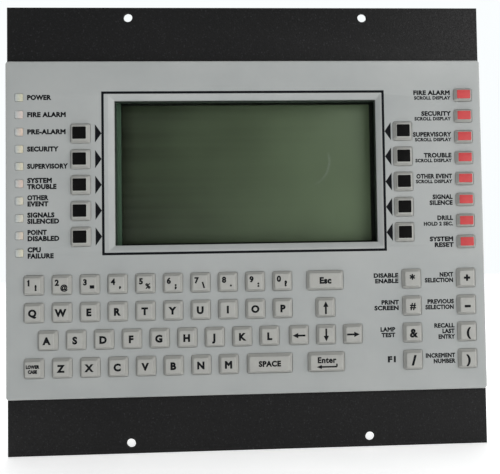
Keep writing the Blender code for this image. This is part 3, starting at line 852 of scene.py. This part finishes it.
def lcd_frame_mesh():
    """A pressed frame: a lip round the view, and walls round the glass."""
    bm = new_mesh()
    x, z, lip = LCD_FRAME.x, LCD_FRAME.z, LCD_FRAME.front + 0.7

    def rim(inset):
        return rounded(LCD_FRAME.w - 2 * inset, LCD_FRAME.h - 2 * inset, 1.2 - inset, x, z)
    view = rounded(VIEW_W, VIEW_H, 0.5, VIEW_X, VIEW_Z)
    pocket = rounded(LCD.w + 0.6, LCD.h + 0.6, 0.5, x, z)
    hole = [(LCD_FRAME.front, view), (lip, view), (lip, pocket), (LCD_FRAME.back, pocket)]
    add_sheet(bm, [soft_levels(rim, LCD_FRAME.front, LCD_FRAME.back, 0.5, 0.1), hole])
    return bm


# Chassis and tray --------------------------------

PLATE_T = 1.5
WINDOW_W, WINDOW_H = CHASSIS.w - 5.0, 164.0
WALL_H, RELIEF = 168.6, 1.0
HOLE_R, HOLE_X, HOLE_Z = 2.25, 60.4, 108.2
CHASSIS_BEND, TRAY_BEND = 1.7, 1.8
RIVET_R, RIVET_RISE, RIVET_PLACES = 2.4, 0.8, (-66.0, 0.0, 66.0)


def plate_rim(inset):
    """The plate's outline, stepped in beside the folded sides."""
    w, h = CHASSIS.w / 2 - inset, CHASSIS.h / 2 - inset
    step_x, step_z = CHASSIS.w / 2 - CHASSIS_BEND, WALL_H / 2 + RELIEF + inset
    right = [(w, -h), (w, -step_z), (step_x, -step_z), (step_x, step_z), (w, step_z), (w, h)]
    return right + [(-x, -z) for x, z in right]


def add_fold(bm, side, skin, reach, bend, thick, tip, length):
    """The bend and the wall at one side of a folded sheet whose outer face lies at depth skin."""
    way = 1 if tip > skin else -1
    turns = [math.pi / 2 * i / 6 for i in range(7)]
    centre = (reach - bend, skin + way * bend)

    def arc(radius):
        return [(centre[0] + radius * math.sin(t), centre[1] - way * radius * math.cos(t)) for t in turns]
    section = arc(bend) + [(reach, tip), (reach - thick, tip)] + arc(bend - thick)[::-1]
    add_loft(bm, [[(side * x, depth, z) for x, depth in section] for z in (-length / 2, length / 2)])


def chassis(coat, steel):
    """The steel plate with its window and mounting holes, and its two folded sides with rivets."""
    bm = new_mesh()
    front, back = CHASSIS.front, CHASSIS.front + PLATE_T
    window = straight(rounded(WINDOW_W, WINDOW_H, 0.6), front, back)
    edges = [soft_levels(plate_rim, front, back, 0.25, 0.2), window]
    for x in (-HOLE_X, HOLE_X):
        for z in (-HOLE_Z, HOLE_Z):
            rim = circle(HOLE_R, x, z)
            edges.append([(front, circle(HOLE_R + 0.25, x, z)), (front + 0.25, rim), (back, rim)])
    add_sheet(bm, edges)
    rivets = new_mesh()
    for side in (-1, 1):
        add_fold(bm, side, front, CHASSIS.w / 2, CHASSIS_BEND, PLATE_T, CHASSIS.back, WALL_H)
        for z in RIVET_PLACES:
            add_rivet(rivets, side, z)
    add_piece("chassis_plate", bm, coat, replaces=["chassis"])
    add_piece("tray_rivets", rivets, steel)


def add_rivet(bm, side, z):
    """A domed rivet through a folded side and the tray's flange."""
    depth, inner, outer = TRAY.front + 1.5, TRAY.w / 2 - 1.2, CHASSIS.w / 2
    levels = [(inner - 0.9, 1.6), (inner, 1.9), (outer, RIVET_R), (outer + 0.3, RIVET_R)]
    levels += [(outer + 0.6, RIVET_R * 0.8), (outer + RIVET_RISE, RIVET_R * 0.4)]
    ring = circle(1.0, sides=20)
    add_loft(bm, [[(side * x, depth + r * u, z + r * v) for u, v in ring] for x, r in levels])


SLOT = Span("ribbon_cable")
SLOT_W, SLOT_H = 33.4, 9.0
BEAD_X, BEAD_W, BEAD_H, BEAD_RISE = 96.0, 7.0, 110.0, 1.2
STUD_X, STUD_Z = 84.0, -70.0


def tray(steel, rubber, paper):
    """The zinc-plated tray: folded sides, stiffening beads, a bushed slot, a stud and a blank label."""
    bm = new_mesh()
    front, back = TRAY.back - 1.2, TRAY.back
    x, z = SLOT.x, SLOT.top
    outlines = (rounded(TRAY.w - 2 * TRAY_BEND, TRAY.h, 0.01), rounded(SLOT_W, SLOT_H, 1.5, x, z))
    add_sheet(bm, [straight(outline, front, back) for outline in outlines])
    for side in (-1, 1):
        add_fold(bm, side, back, TRAY.w / 2, TRAY_BEND, 1.2, TRAY.front, TRAY.h)

        def bead(inset):
            return rounded(BEAD_W - 2 * inset, BEAD_H - 2 * inset, BEAD_W / 2 - inset, side * BEAD_X)
        levels = [(0.0, 0.0), (0.25, 0.25), (BEAD_RISE * 0.8, 1.2), (BEAD_RISE, 2.0)]
        add_stack(bm, [(back + rise, bead(inset)) for rise, inset in levels])
    add_disc(bm, 2.0, back, back + 9.0, STUD_X, STUD_Z, 0.4)
    add_stack(bm, straight(circle(4.0, STUD_X, STUD_Z, 6), back, back + 3.2))
    add_piece("tray_sheet", bm, steel, replaces=["board_tray"], sharp=30)
    bm, lap = new_mesh(), 1.4
    rims = [(front - 0.7, lap), (front - 0.05, lap), (front - 0.04, -0.1), (back + 0.04, -0.1)]
    rims += [(back + 0.05, lap), (back + 0.5, lap), (back + 0.7, lap - 0.3)]
    rim = [(d, rounded(SLOT_W + 2 * r, SLOT_H + 2 * r, 1.5 + r, x, z)) for d, r in rims]
    hole = straight(rounded(SLOT_W - 2.4, SLOT_H - 2.4, 0.8, x, z), front - 0.7, back + 0.7)
    add_sheet(bm, [rim, hole])
    add_piece("slot_bush", bm, rubber)
    bm = new_mesh()
    add_box(bm, 46.0, 16.0, back, back + 0.12, -44.0, 71.5, 0.03, 1.5)
    add_piece("blank_label", bm, paper)


# Main board --------------------------------------

BOARD_FACE = BOARD.back
PILLARS = [Span(f"board_pillar_{i}") for i in range(1, 5)]
HEADER, SOUNDER = Span("ribbon_header"), Span("sounder")
TERMINALS = {"terminal_block_power": 4, "terminal_block_network": 6}  # ways of each
TERMINAL_PITCH, SWITCH_PITCH, GRID = 5.08, 2.54, 4.2
dice = random.Random(11)


def add_brick(bm, width, height, front, back, x, z, slot=0):
    """A small block with a chamfered face."""
    top, cut = rounded(width, height, 0.12, x, z, 1), 0.1
    face = rounded(width - 2 * cut, height - 2 * cut, 0.08, x, z, 1)
    add_stack(bm, [(front, top), (back - cut, top), (back, face)], slot)


def add_chip(bm, width, height, thick, x, z, pins, pitch, four_sides=False):
    """A black package with leads along its long sides, or along all four."""
    base = BOARD_FACE
    draft = [(base + 0.2, 0.3), (base + thick / 2, 0.0), (base + thick - 0.05, 0.25), (base + thick, 0.35)]
    add_stack(bm, [(d, rounded(width - 2 * i, height - 2 * i, 0.3, x, z, 2)) for d, i in draft])
    dot_x, dot_z = x - width / 2 + 1.6, z - height / 2 + 1.6
    add_disc(bm, 0.5, base + thick - 0.02, base + thick + 0.02, dot_x, dot_z, 0.01, 1, 16)
    for i in range(pins):
        along = (i - (pins - 1) / 2) * pitch
        for side in (-1, 1):
            for reach, low, high, size in ((0.1, 0.15, thick / 2 + 0.1, 0.5), (0.8, 0.0, 0.25, 1.1)):
                across = side * (height / 2 + reach)
                add_brick(bm, 0.42 * pitch, size, base + low, base + high, x + along, z + across, 1)
                if four_sides:
                    add_brick(bm, size, 0.42 * pitch, base + low, base + high, x + across, z + along, 1)


# width, height, thickness, x, z, leads on a side, pitch of the leads, leads on all four sides
CHIPS = [
    (20.0, 20.0, 2.2, 0.0, 12.0, 20, 0.9, True), (42.0, 13.6, 4.6, -48.0, 32.0, 16, 2.54, False),
    (18.0, 7.5, 2.2, -50.0, 10.0, 14, 1.27, False), (18.0, 7.5, 2.2, -50.0, -6.0, 14, 1.27, False),
    (5.0, 4.0, 1.5, -24.0, -36.0, 4, 1.27, False), (5.0, 4.0, 1.5, -12.0, -36.0, 4, 1.27, False),
    (12.8, 7.5, 2.2, 30.0, 24.0, 8, 1.27, False), (10.0, 4.0, 1.5, 4.0, -12.0, 7, 1.27, False),
]
# x, z, radius, height
CANS = [(-49.0, -27.0, 5.0, 12.0), (-37.0, -27.0, 4.0, 11.0), (68.0, -50.0, 3.2, 7.0)]
# width, height, thickness, x, z: relays, crystal, trimmer, switch body
BLOCKS = {
    "relay": [(15.0, 19.0, 12.0, -68.0, -26.0)],
    "crystal": [(4.6, 11.0, 3.6, 21.0, 12.0)],
    "trimmer": [(6.8, 6.8, 5.0, 66.0, 40.0)],
    "switch": [(9.6, 22.0, 5.4, 66.0, 10.0)],
}
CELL_X, CELL_Z, CELL_R = 21.0, -44.0, 10.0


def taken(x, z, margin):
    """True where a large part, a pillar or a connector already stands."""
    spots = [(cx, cz, w, h) for w, h, _, cx, cz, *_ in CHIPS]
    spots += [(cx, cz, w, h) for blocks in BLOCKS.values() for w, h, _, cx, cz in blocks]
    spots += [(cx, cz, 2 * r, 2 * r) for cx, cz, r, _ in CANS] + [(CELL_X, CELL_Z, 2 * CELL_R, 2 * CELL_R)]
    nodes = PILLARS + [HEADER, SOUNDER] + [Span(node) for node in TERMINALS]
    spots += [(span.x, span.z, span.w, span.h) for span in nodes]
    return any(abs(x - cx) < w / 2 + margin and abs(z - cz) < h / 2 + margin for cx, cz, w, h in spots)


def small_parts(black, tin, tan):
    """Chip resistors and capacitors on a loose grid, wherever there is room."""
    bm = new_mesh()
    for row in range(27):
        for column in range(36):
            x, z = (column - 17.5) * GRID, (row - 13) * GRID
            if dice.random() < 0.6 or taken(x, z, 3.2):
                continue
            long, short, thick = dice.choice([(2.0, 1.25, 0.55), (3.2, 1.6, 0.6), (2.0, 1.25, 1.1)])
            turned = dice.random() < 0.5
            body = 0 if thick < 1.0 else 2
            size = (short, long) if turned else (long, short)
            add_brick(bm, size[0] * 0.9, size[1] * 0.9, BOARD_FACE, BOARD_FACE + thick, x, z, body)
            for end in (-1, 1):
                dx, dz = (0, end * long * 0.4) if turned else (end * long * 0.4, 0)
                cap = (short, long * 0.2) if turned else (long * 0.2, short)
                add_brick(bm, *cap, BOARD_FACE, BOARD_FACE + thick + 0.04, x + dx, z + dz, 1)
    add_piece("board_small_parts", bm, [black, tin, tan])


def tracks(look):
    """Copper tracks under the solder mask, each with a slanted middle and a via at its end."""
    bm, width = new_mesh(), 0.5
    for _ in range(110):
        x, z = dice.uniform(-74, 60), dice.uniform(-56, 50)
        run, jog, tail = dice.uniform(4, 18), dice.choice([-3.0, 2.0, 4.0]), dice.uniform(3, 14)
        path = [(0, 0), (run, 0), (run + abs(jog), jog), (run + abs(jog) + tail, jog)]
        if dice.random() < 0.5:
            path = [(v, u) for u, v in path]
        path = [(min(x + u, 78.0), min(z + v, 58.0)) for u, v in path]
        for (x1, z1), (x2, z2) in zip(path, path[1:]):
            step = Vector((x2 - x1, z2 - z1))
            if step.length > 0.1:
                side = Vector((-step.y, step.x)).normalized() * width / 2
                ends = [(x1 - side.x, z1 - side.y), (x2 - side.x, z2 - side.y)]
                ends += [(x2 + side.x, z2 + side.y), (x1 + side.x, z1 + side.y)]
                add_patch(bm, ends, BOARD_FACE)
        add_disc(bm, 0.7, BOARD_FACE - 0.02, BOARD_FACE + 0.05, *path[-1], 0.01, sides=12)
    add_piece("board_tracks", bm, look)


def silkscreen(white):
    """White outlines round the larger parts."""
    bm, faces = new_mesh(), (BOARD_FACE - PRINT_T / 2, BOARD_FACE + PRINT_T)
    places = [(x, z, w + 4.4 * four + 1.2, h + 4.4) for w, h, _, x, z, _, _, four in CHIPS]
    places += [(x, z, w + 1.2, h + 1.2) for blocks in BLOCKS.values() for w, h, _, x, z in blocks]
    connectors = [HEADER] + [Span(node) for node in TERMINALS]
    places += [(span.x, span.z, span.w + 1.2, span.h + 1.2) for span in connectors]
    for x, z, width, height in places:
        sizes = [(width + line, height + line) for line in (0.3, -0.3)]
        add_sheet(bm, [straight(rounded(w, h, 0.2, x, z, 1), *faces) for w, h in sizes])
    for x, z, radius, _ in CANS + [(CELL_X, CELL_Z, CELL_R, 0), (SOUNDER.x, SOUNDER.z, SOUNDER.w / 2, 0)]:
        add_sheet(bm, [straight(circle(radius + r, x, z, 48), *faces) for r in (0.8, 0.5)])
    add_piece("board_silkscreen", bm, white)


def main_board(black, tin, white, sleeve, blue, red_plastic):
    """The main board's bare board and the parts on it."""
    bm = new_mesh()

    def rim(inset):
        return rounded(BOARD.w - 2 * inset, BOARD.h - 2 * inset, 1.5)
    holes = [straight(circle(1.7, span.x, span.z), BOARD.front, BOARD.back) for span in PILLARS]
    add_sheet(bm, [soft_levels(rim, BOARD.front, BOARD.back, 0.1, 0.1)] + holes)
    add_piece("main_board", bm, board_green(), replaces=["main_circuit_board"])
    bm = new_mesh()
    for chip in CHIPS:
        add_chip(bm, *chip)
    add_piece("board_chips", bm, [black, tin])
    bm, base = new_mesh(), BOARD_FACE
    for x, z, radius, height in CANS:
        add_disc(bm, radius, base + 0.2, base + height, x, z, 0.5)
        add_disc(bm, radius * 0.82, base + height - 0.3, base + height + 0.05, x, z, 0.05, 1)
    add_disc(bm, CELL_R, base + 2.2, base + 5.4, CELL_X, CELL_Z, 0.4, 1, 48)
    add_box(bm, 2 * CELL_R + 2.0, 9.0, base, base + 2.2, CELL_X, CELL_Z, 0.3)
    add_box(bm, 4.0, 2 * CELL_R + 3.0, base, base + 5.9, CELL_X, CELL_Z, 0.3, slot=1)
    add_piece("board_cans_and_cell", bm, [sleeve, tin])
    for name, look in (("relay", blue), ("crystal", tin), ("trimmer", blue), ("switch", red_plastic)):
        bm = new_mesh()
        for width, height, thick, x, z in BLOCKS[name]:
            corner = width / 2.1 if name == "crystal" else 0.5
            add_box(bm, width, height, base, base + thick, x, z, 0.4, corner)
            top = base + thick
            for i in range(8 if name == "switch" else 0):
                add_box(bm, 4.2, 1.3, top - 0.6, top + 0.5, x, z + (i - 3.5) * SWITCH_PITCH, slot=1)
            if name == "trimmer":
                add_stack(bm, screw_levels(2.2, top, 0.5, x, z), 1)
        add_piece("board_" + name, bm, [look, white])


def plus(reach, width, x, z):
    """A plus sign's outline."""
    a, b = width / 2, reach
    arm = [(b, -a), (b, a), (a, a)]
    points = []
    for turn in range(4):
        points += [Matrix.Rotation(turn * math.pi / 2, 2) @ Vector(point) for point in arm]
    return [(x + p.x, z + p.y) for p in points]


def screw_levels(radius, front, height, x, z):
    """Levels of a domed screw head with a cross recess."""
    cross = plus(radius * 0.55, radius * 0.24, x, z)

    def ring(size):
        spread = [Vector((u - x, v - z)).normalized() * size for u, v in cross]
        return [(x + p.x, z + p.y) for p in spread]
    dome = [(0.0, 1.0), (0.55, 0.98), (0.8, 0.86), (0.95, 0.7)]
    levels = [(front + height * rise, ring(radius * share)) for rise, share in dome]
    low = plus(radius * 0.3, radius * 0.15, x, z)
    return levels + [(front + height, cross), (front + height * 0.3, low)]


def pillars(steel):
    """Hexagonal pillars between the tray and the main board, each with a washer and a screw."""
    for i, span in enumerate(PILLARS):
        bm, x, z = new_mesh(), span.x, span.z
        six = [(d, circle(r, x, z, 6)) for d, r in ((0.0, 3.0), (0.2, 3.2), (5.8, 3.2), (6.0, 3.0))]
        add_stack(bm, [(span.front + d, outline) for d, outline in six])
        add_disc(bm, 1.4, span.front + 5.9, span.back - 1.0, x, z, 0.05)
        add_disc(bm, 3.4, BOARD_FACE + 0.05, BOARD_FACE + 0.4, x, z, 0.08)
        add_stack(bm, screw_levels(2.9, BOARD_FACE + 0.4, 1.7, x, z))
        name = f"board_pillar_{i + 1}"
        add_piece("hex_" + name, bm, steel, replaces=[name], sharp=28)


def terminals(green, tin):
    """A slotted clamp screw and a wire cage in each way of the terminal blocks, which stay as they are."""
    for node, ways in TERMINALS.items():
        paint(node, green)
        span, bm = Span(node), new_mesh()
        for i in range(ways):
            x = span.x + (i - (ways - 1) / 2) * TERMINAL_PITCH
            add_disc(bm, 1.75, span.back - 1.98, span.back - 0.9, x, span.z + 1.0, 0.15)
            for side in (-1, 1):
                half = [(u, v) for u, v in circle(1.6, sides=32) if v * side > 0.3]
                half = [(x + u, span.z + 1.0 + v) for u, v in half]
                add_stack(bm, straight(half, span.back - 1.2, span.back - 0.6))
            add_box(bm, 3.0, 0.6, span.front + 4.1, span.front + 7.5, x, span.bottom + 3.3, 0.05)
            add_box(bm, 2.9, 3.0, span.front + 6.9, span.front + 7.5, x, span.bottom + 2.0, 0.05)
        add_piece(node + "_screws", bm, tin)


def sounder(black):
    bm, r, x, z = new_mesh(), SOUNDER.w / 2, SOUNDER.x, SOUNDER.z
    back = SOUNDER.back
    steps = [(SOUNDER.front, r - 0.2), (SOUNDER.front + 0.3, r), (back - 1.2, r), (back - 0.5, r - 0.35)]
    steps += [(back - 0.1, r - 1.0), (back - 0.1, r - 1.8), (back - 0.6, r - 2.0), (back - 0.6, r - 2.6)]
    steps += [(back, r - 3.0), (back, 1.8), (back - 0.3, 1.5), (back - 2.4, 1.5)]
    add_stack(bm, [(d, circle(size, x, z, 48)) for d, size in steps])
    add_piece("sounder_can", bm, black, replaces=["sounder"])


def ribbon(black, grey_vinyl, red_vinyl):
    """A boxed header with its plug, and the flat cable: twenty joined wires, the first one red."""
    bm, span = new_mesh(), HEADER
    add_box(bm, span.w, span.h, span.front, span.front + 5.2, span.x, span.z, 0.2, 0.4)
    add_box(bm, span.w - 3.0, 5.6, span.front + 5.0, span.back, span.x, span.z + 0.6, 0.3, 0.4)
    for side in (-1, 1):
        add_box(bm, 1.8, 4.0, span.front, span.back - 0.5, span.x + side * (span.w / 2 - 0.5), span.z, 0.3)
    add_piece("header_and_plug", bm, black, replaces=["ribbon_header"])
    cable, bm, wires, radius = Span("ribbon_cable"), new_mesh(), 20, 0.5
    pitch, bend = cable.w / wires, 5.5
    depth, top = cable.back - radius, cable.top - radius
    turns = [math.pi / 2 * i / 8 for i in range(9)]
    path = [(depth, span.z + 2.0)]
    path += [(depth - bend * (1 - math.cos(t)), top - bend * (1 - math.sin(t))) for t in turns]
    path += [(cable.front, top)]
    for i in range(wires):
        x = cable.left + pitch * (i + 0.5)
        loops = []
        for j, (d, z) in enumerate(path):
            before, after = path[max(j - 1, 0)], path[min(j + 1, len(path) - 1)]
            run = Vector((after[0] - before[0], after[1] - before[1])).normalized()
            ring = circle(radius, sides=12)
            loops.append([(x + u * pitch * 1.04, d - v * run.y, z + v * run.x) for u, v in ring])
        add_loft(bm, loops, 1 if i == wires - 1 else 0)
    add_piece("ribbon_wires", bm, [grey_vinyl, red_vinyl], replaces=["ribbon_cable"])


def paint(node, look):
    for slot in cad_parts[node].material_slots:
        slot.material = look


def inner_boards(rubber):
    """Finishes for the CAD pieces that stay: the key mat, the light guide and two circuit boards."""
    paint("keypad_mat", rubber)
    paint("lcd_backlight", plain("light_guide", (0.6, 0.62, 0.6), (0.7, 0.72, 0.7), (0.2, 0.35)))
    green = board_green()
    paint("lcd_circuit_board", green)
    paint("keypad_circuit_board", green)


def rear_works(steel):
    black = plain("epoxy_black", (0.012, 0.012, 0.013), (0.02, 0.02, 0.021), (0.4, 0.55))
    moulded = plain("black_moulding", (0.01, 0.01, 0.01), (0.018, 0.018, 0.018), (0.3, 0.5))
    tin = zinc("tin", (0.62, 0.62, 0.6), 2.0)
    white = ink("white_print", (0.7, 0.7, 0.66))
    rubber = plain("black_rubber", (0.014, 0.014, 0.014), (0.024, 0.024, 0.023), (0.6, 0.8), grain=1.0)
    paper = plain("label_paper", (0.66, 0.66, 0.62), (0.72, 0.72, 0.68), (0.45, 0.6), 10.0)
    tan = plain("capacitor_tan", (0.3, 0.2, 0.1), (0.36, 0.25, 0.13))
    blue = plain("relay_blue", (0.02, 0.05, 0.16), (0.03, 0.065, 0.2), (0.25, 0.4))
    scarlet = plain("switch_red", (0.35, 0.02, 0.015), (0.42, 0.03, 0.02), (0.3, 0.45))
    track = plain("track_green", (0.022, 0.13, 0.055), (0.03, 0.16, 0.07), (0.22, 0.36))
    green = plain("terminal_green", (0.015, 0.15, 0.05), (0.02, 0.2, 0.07), (0.35, 0.5))
    vinyl = plain("ribbon_grey", (0.3, 0.31, 0.32), (0.36, 0.37, 0.38), (0.35, 0.5))
    red_vinyl = plain("ribbon_red", (0.4, 0.03, 0.03), (0.5, 0.05, 0.04), (0.35, 0.5))
    tray(steel, rubber, paper)
    main_board(black, tin, white, moulded, blue, scarlet)
    small_parts(black, tin, tan)
    tracks(track)
    silkscreen(white)
    pillars(tin)
    terminals(green, tin)
    sounder(moulded)
    ribbon(moulded, vinyl, red_vinyl)
    inner_boards(rubber)


# Camera, light and floor -------------------------

CAMERA_DISTANCE, CAMERA_SIDE, CAMERA_UP = 300.0, -22.86, 4.44
YAW, PITCH, ROLL = 2.495, -1.634, -0.924
LENS, SHIFT_X, SHIFT_Y = 42.57, -0.087, -0.004


def add_camera():
    """A camera in front of the panel, turned a little to its left, at the photograph's angle."""
    yaw, pitch, roll = (math.radians(angle) for angle in (YAW, PITCH, ROLL))
    turn = Matrix.Rotation(roll, 3, "Y") @ Matrix.Rotation(pitch, 3, "X") @ Matrix.Rotation(yaw, 3, "Z")
    back = turn.transposed()
    place = -(back @ Vector((CAMERA_SIDE, CAMERA_DISTANCE, CAMERA_UP)))
    right, up, away = (back @ Vector(axis) for axis in ((1, 0, 0), (0, 0, 1), (0, -1, 0)))
    data = bpy.data.cameras.new("camera")
    data.lens, data.shift_x, data.shift_y = LENS, SHIFT_X, SHIFT_Y
    camera = bpy.data.objects.new("camera", data)
    matrix = Matrix((right, up, away)).transposed().to_4x4()
    matrix.translation = Vector((place.x, place.y + FRONT_Y, place.z)) * MM
    camera.matrix_world = matrix
    show(camera)
    bpy.context.scene.camera = camera


def add_light(name, place, target, size, watts, colour=(1.0, 1.0, 1.0)):
    data = bpy.data.lights.new(name, "AREA")
    data.shape, data.size, data.size_y = "RECTANGLE", *size
    data.energy, data.color = watts, colour
    light = bpy.data.objects.new(name, data)
    light.location = place
    light.rotation_mode = "QUATERNION"
    light.rotation_quaternion = (Vector(target) - Vector(place)).to_track_quat("-Z", "Y")
    show(light)


SURROUND_LIGHT = 0.305  # strength of the surround's light; the camera sees it as white


def add_lights():
    """A soft light from the upper right, a weak fill from the left, one over the floor, and a surround."""
    add_light("key_light", (0.85, -0.75, 0.4), (0, 0, 0), (0.8, 0.8), 7.9, (1.0, 0.99, 0.98))
    add_light("fill_light", (-0.5, -0.9, 0.9), (0, 0, 0), (1.0, 1.0), 1.5, (0.95, 0.98, 1.0))
    add_light("top_light", (0.0, 1.1, 1.5), (0, 1.1, 0), (2.0, 2.0), 25.0)
    world = bpy.data.worlds.new("surround")
    world.use_nodes = True
    tree = world.node_tree
    background = tree.nodes["Background"]
    background.inputs["Color"].default_value = (0.96, 0.99, 1.0, 1.0)
    seen = tree.nodes.new("ShaderNodeMapRange")
    seen.inputs["To Min"].default_value = SURROUND_LIGHT
    tree.links.new(tree.nodes.new("ShaderNodeLightPath").outputs["Is Camera Ray"], seen.inputs["Value"])
    tree.links.new(seen.outputs["Result"], background.inputs["Strength"])
    bpy.context.scene.world = world


def add_floor():
    """A plain pale floor under the panel."""
    bm = new_mesh()
    low, reach = CAD_BOX[0].z - 0.0002, 2.0
    corners = [(-reach, -reach), (reach, -reach), (reach, reach), (-reach, reach)]
    bm.faces.new([bm.verts.new((x, y, low)) for x, y in corners])
    mesh = bpy.data.meshes.new("floor")
    bm.to_mesh(mesh)
    bm.free()
    pale, paler = (0.86, 0.86, 0.86), (0.9, 0.9, 0.9)
    white = plain("floor_white", pale, paler, (0.5, 0.6), 60.0, emission_strength=0.5)
    white.node_tree.nodes["Principled BSDF"].inputs["Emission Color"].default_value = (1.0, 1.0, 1.0, 1.0)
    mesh.materials.append(white)
    floor = bpy.data.objects.new("floor", mesh)
    show(floor)


grey = key_plastic("key_grey", (0.325, 0.325, 0.307), (0.352, 0.352, 0.33), (0.4, 0.4, 0.375))
red = key_plastic("key_red", (0.45, 0.042, 0.046), (0.505, 0.056, 0.058), (0.58, 0.16, 0.14), 0.3)
black_pad = key_plastic("key_black", (0.003, 0.003, 0.0028), (0.005, 0.005, 0.0048), (0.02, 0.02, 0.02), 0.05)
black_print = ink("black_print", (0.003, 0.0035, 0.005))
keyboard(grey, black_print)
side_keys(grey, red, black_pad)
fascia(fascia_grey())
fascia_print(black_print)
lamps()
display()
zinc_steel = zinc("zinc_steel", (0.55, 0.56, 0.57))
chassis(powder_coat(), zinc_steel)
rear_works(zinc_steel)
add_camera()
add_lights()
add_floor()
bpy.context.scene.view_settings.view_transform = "Standard"
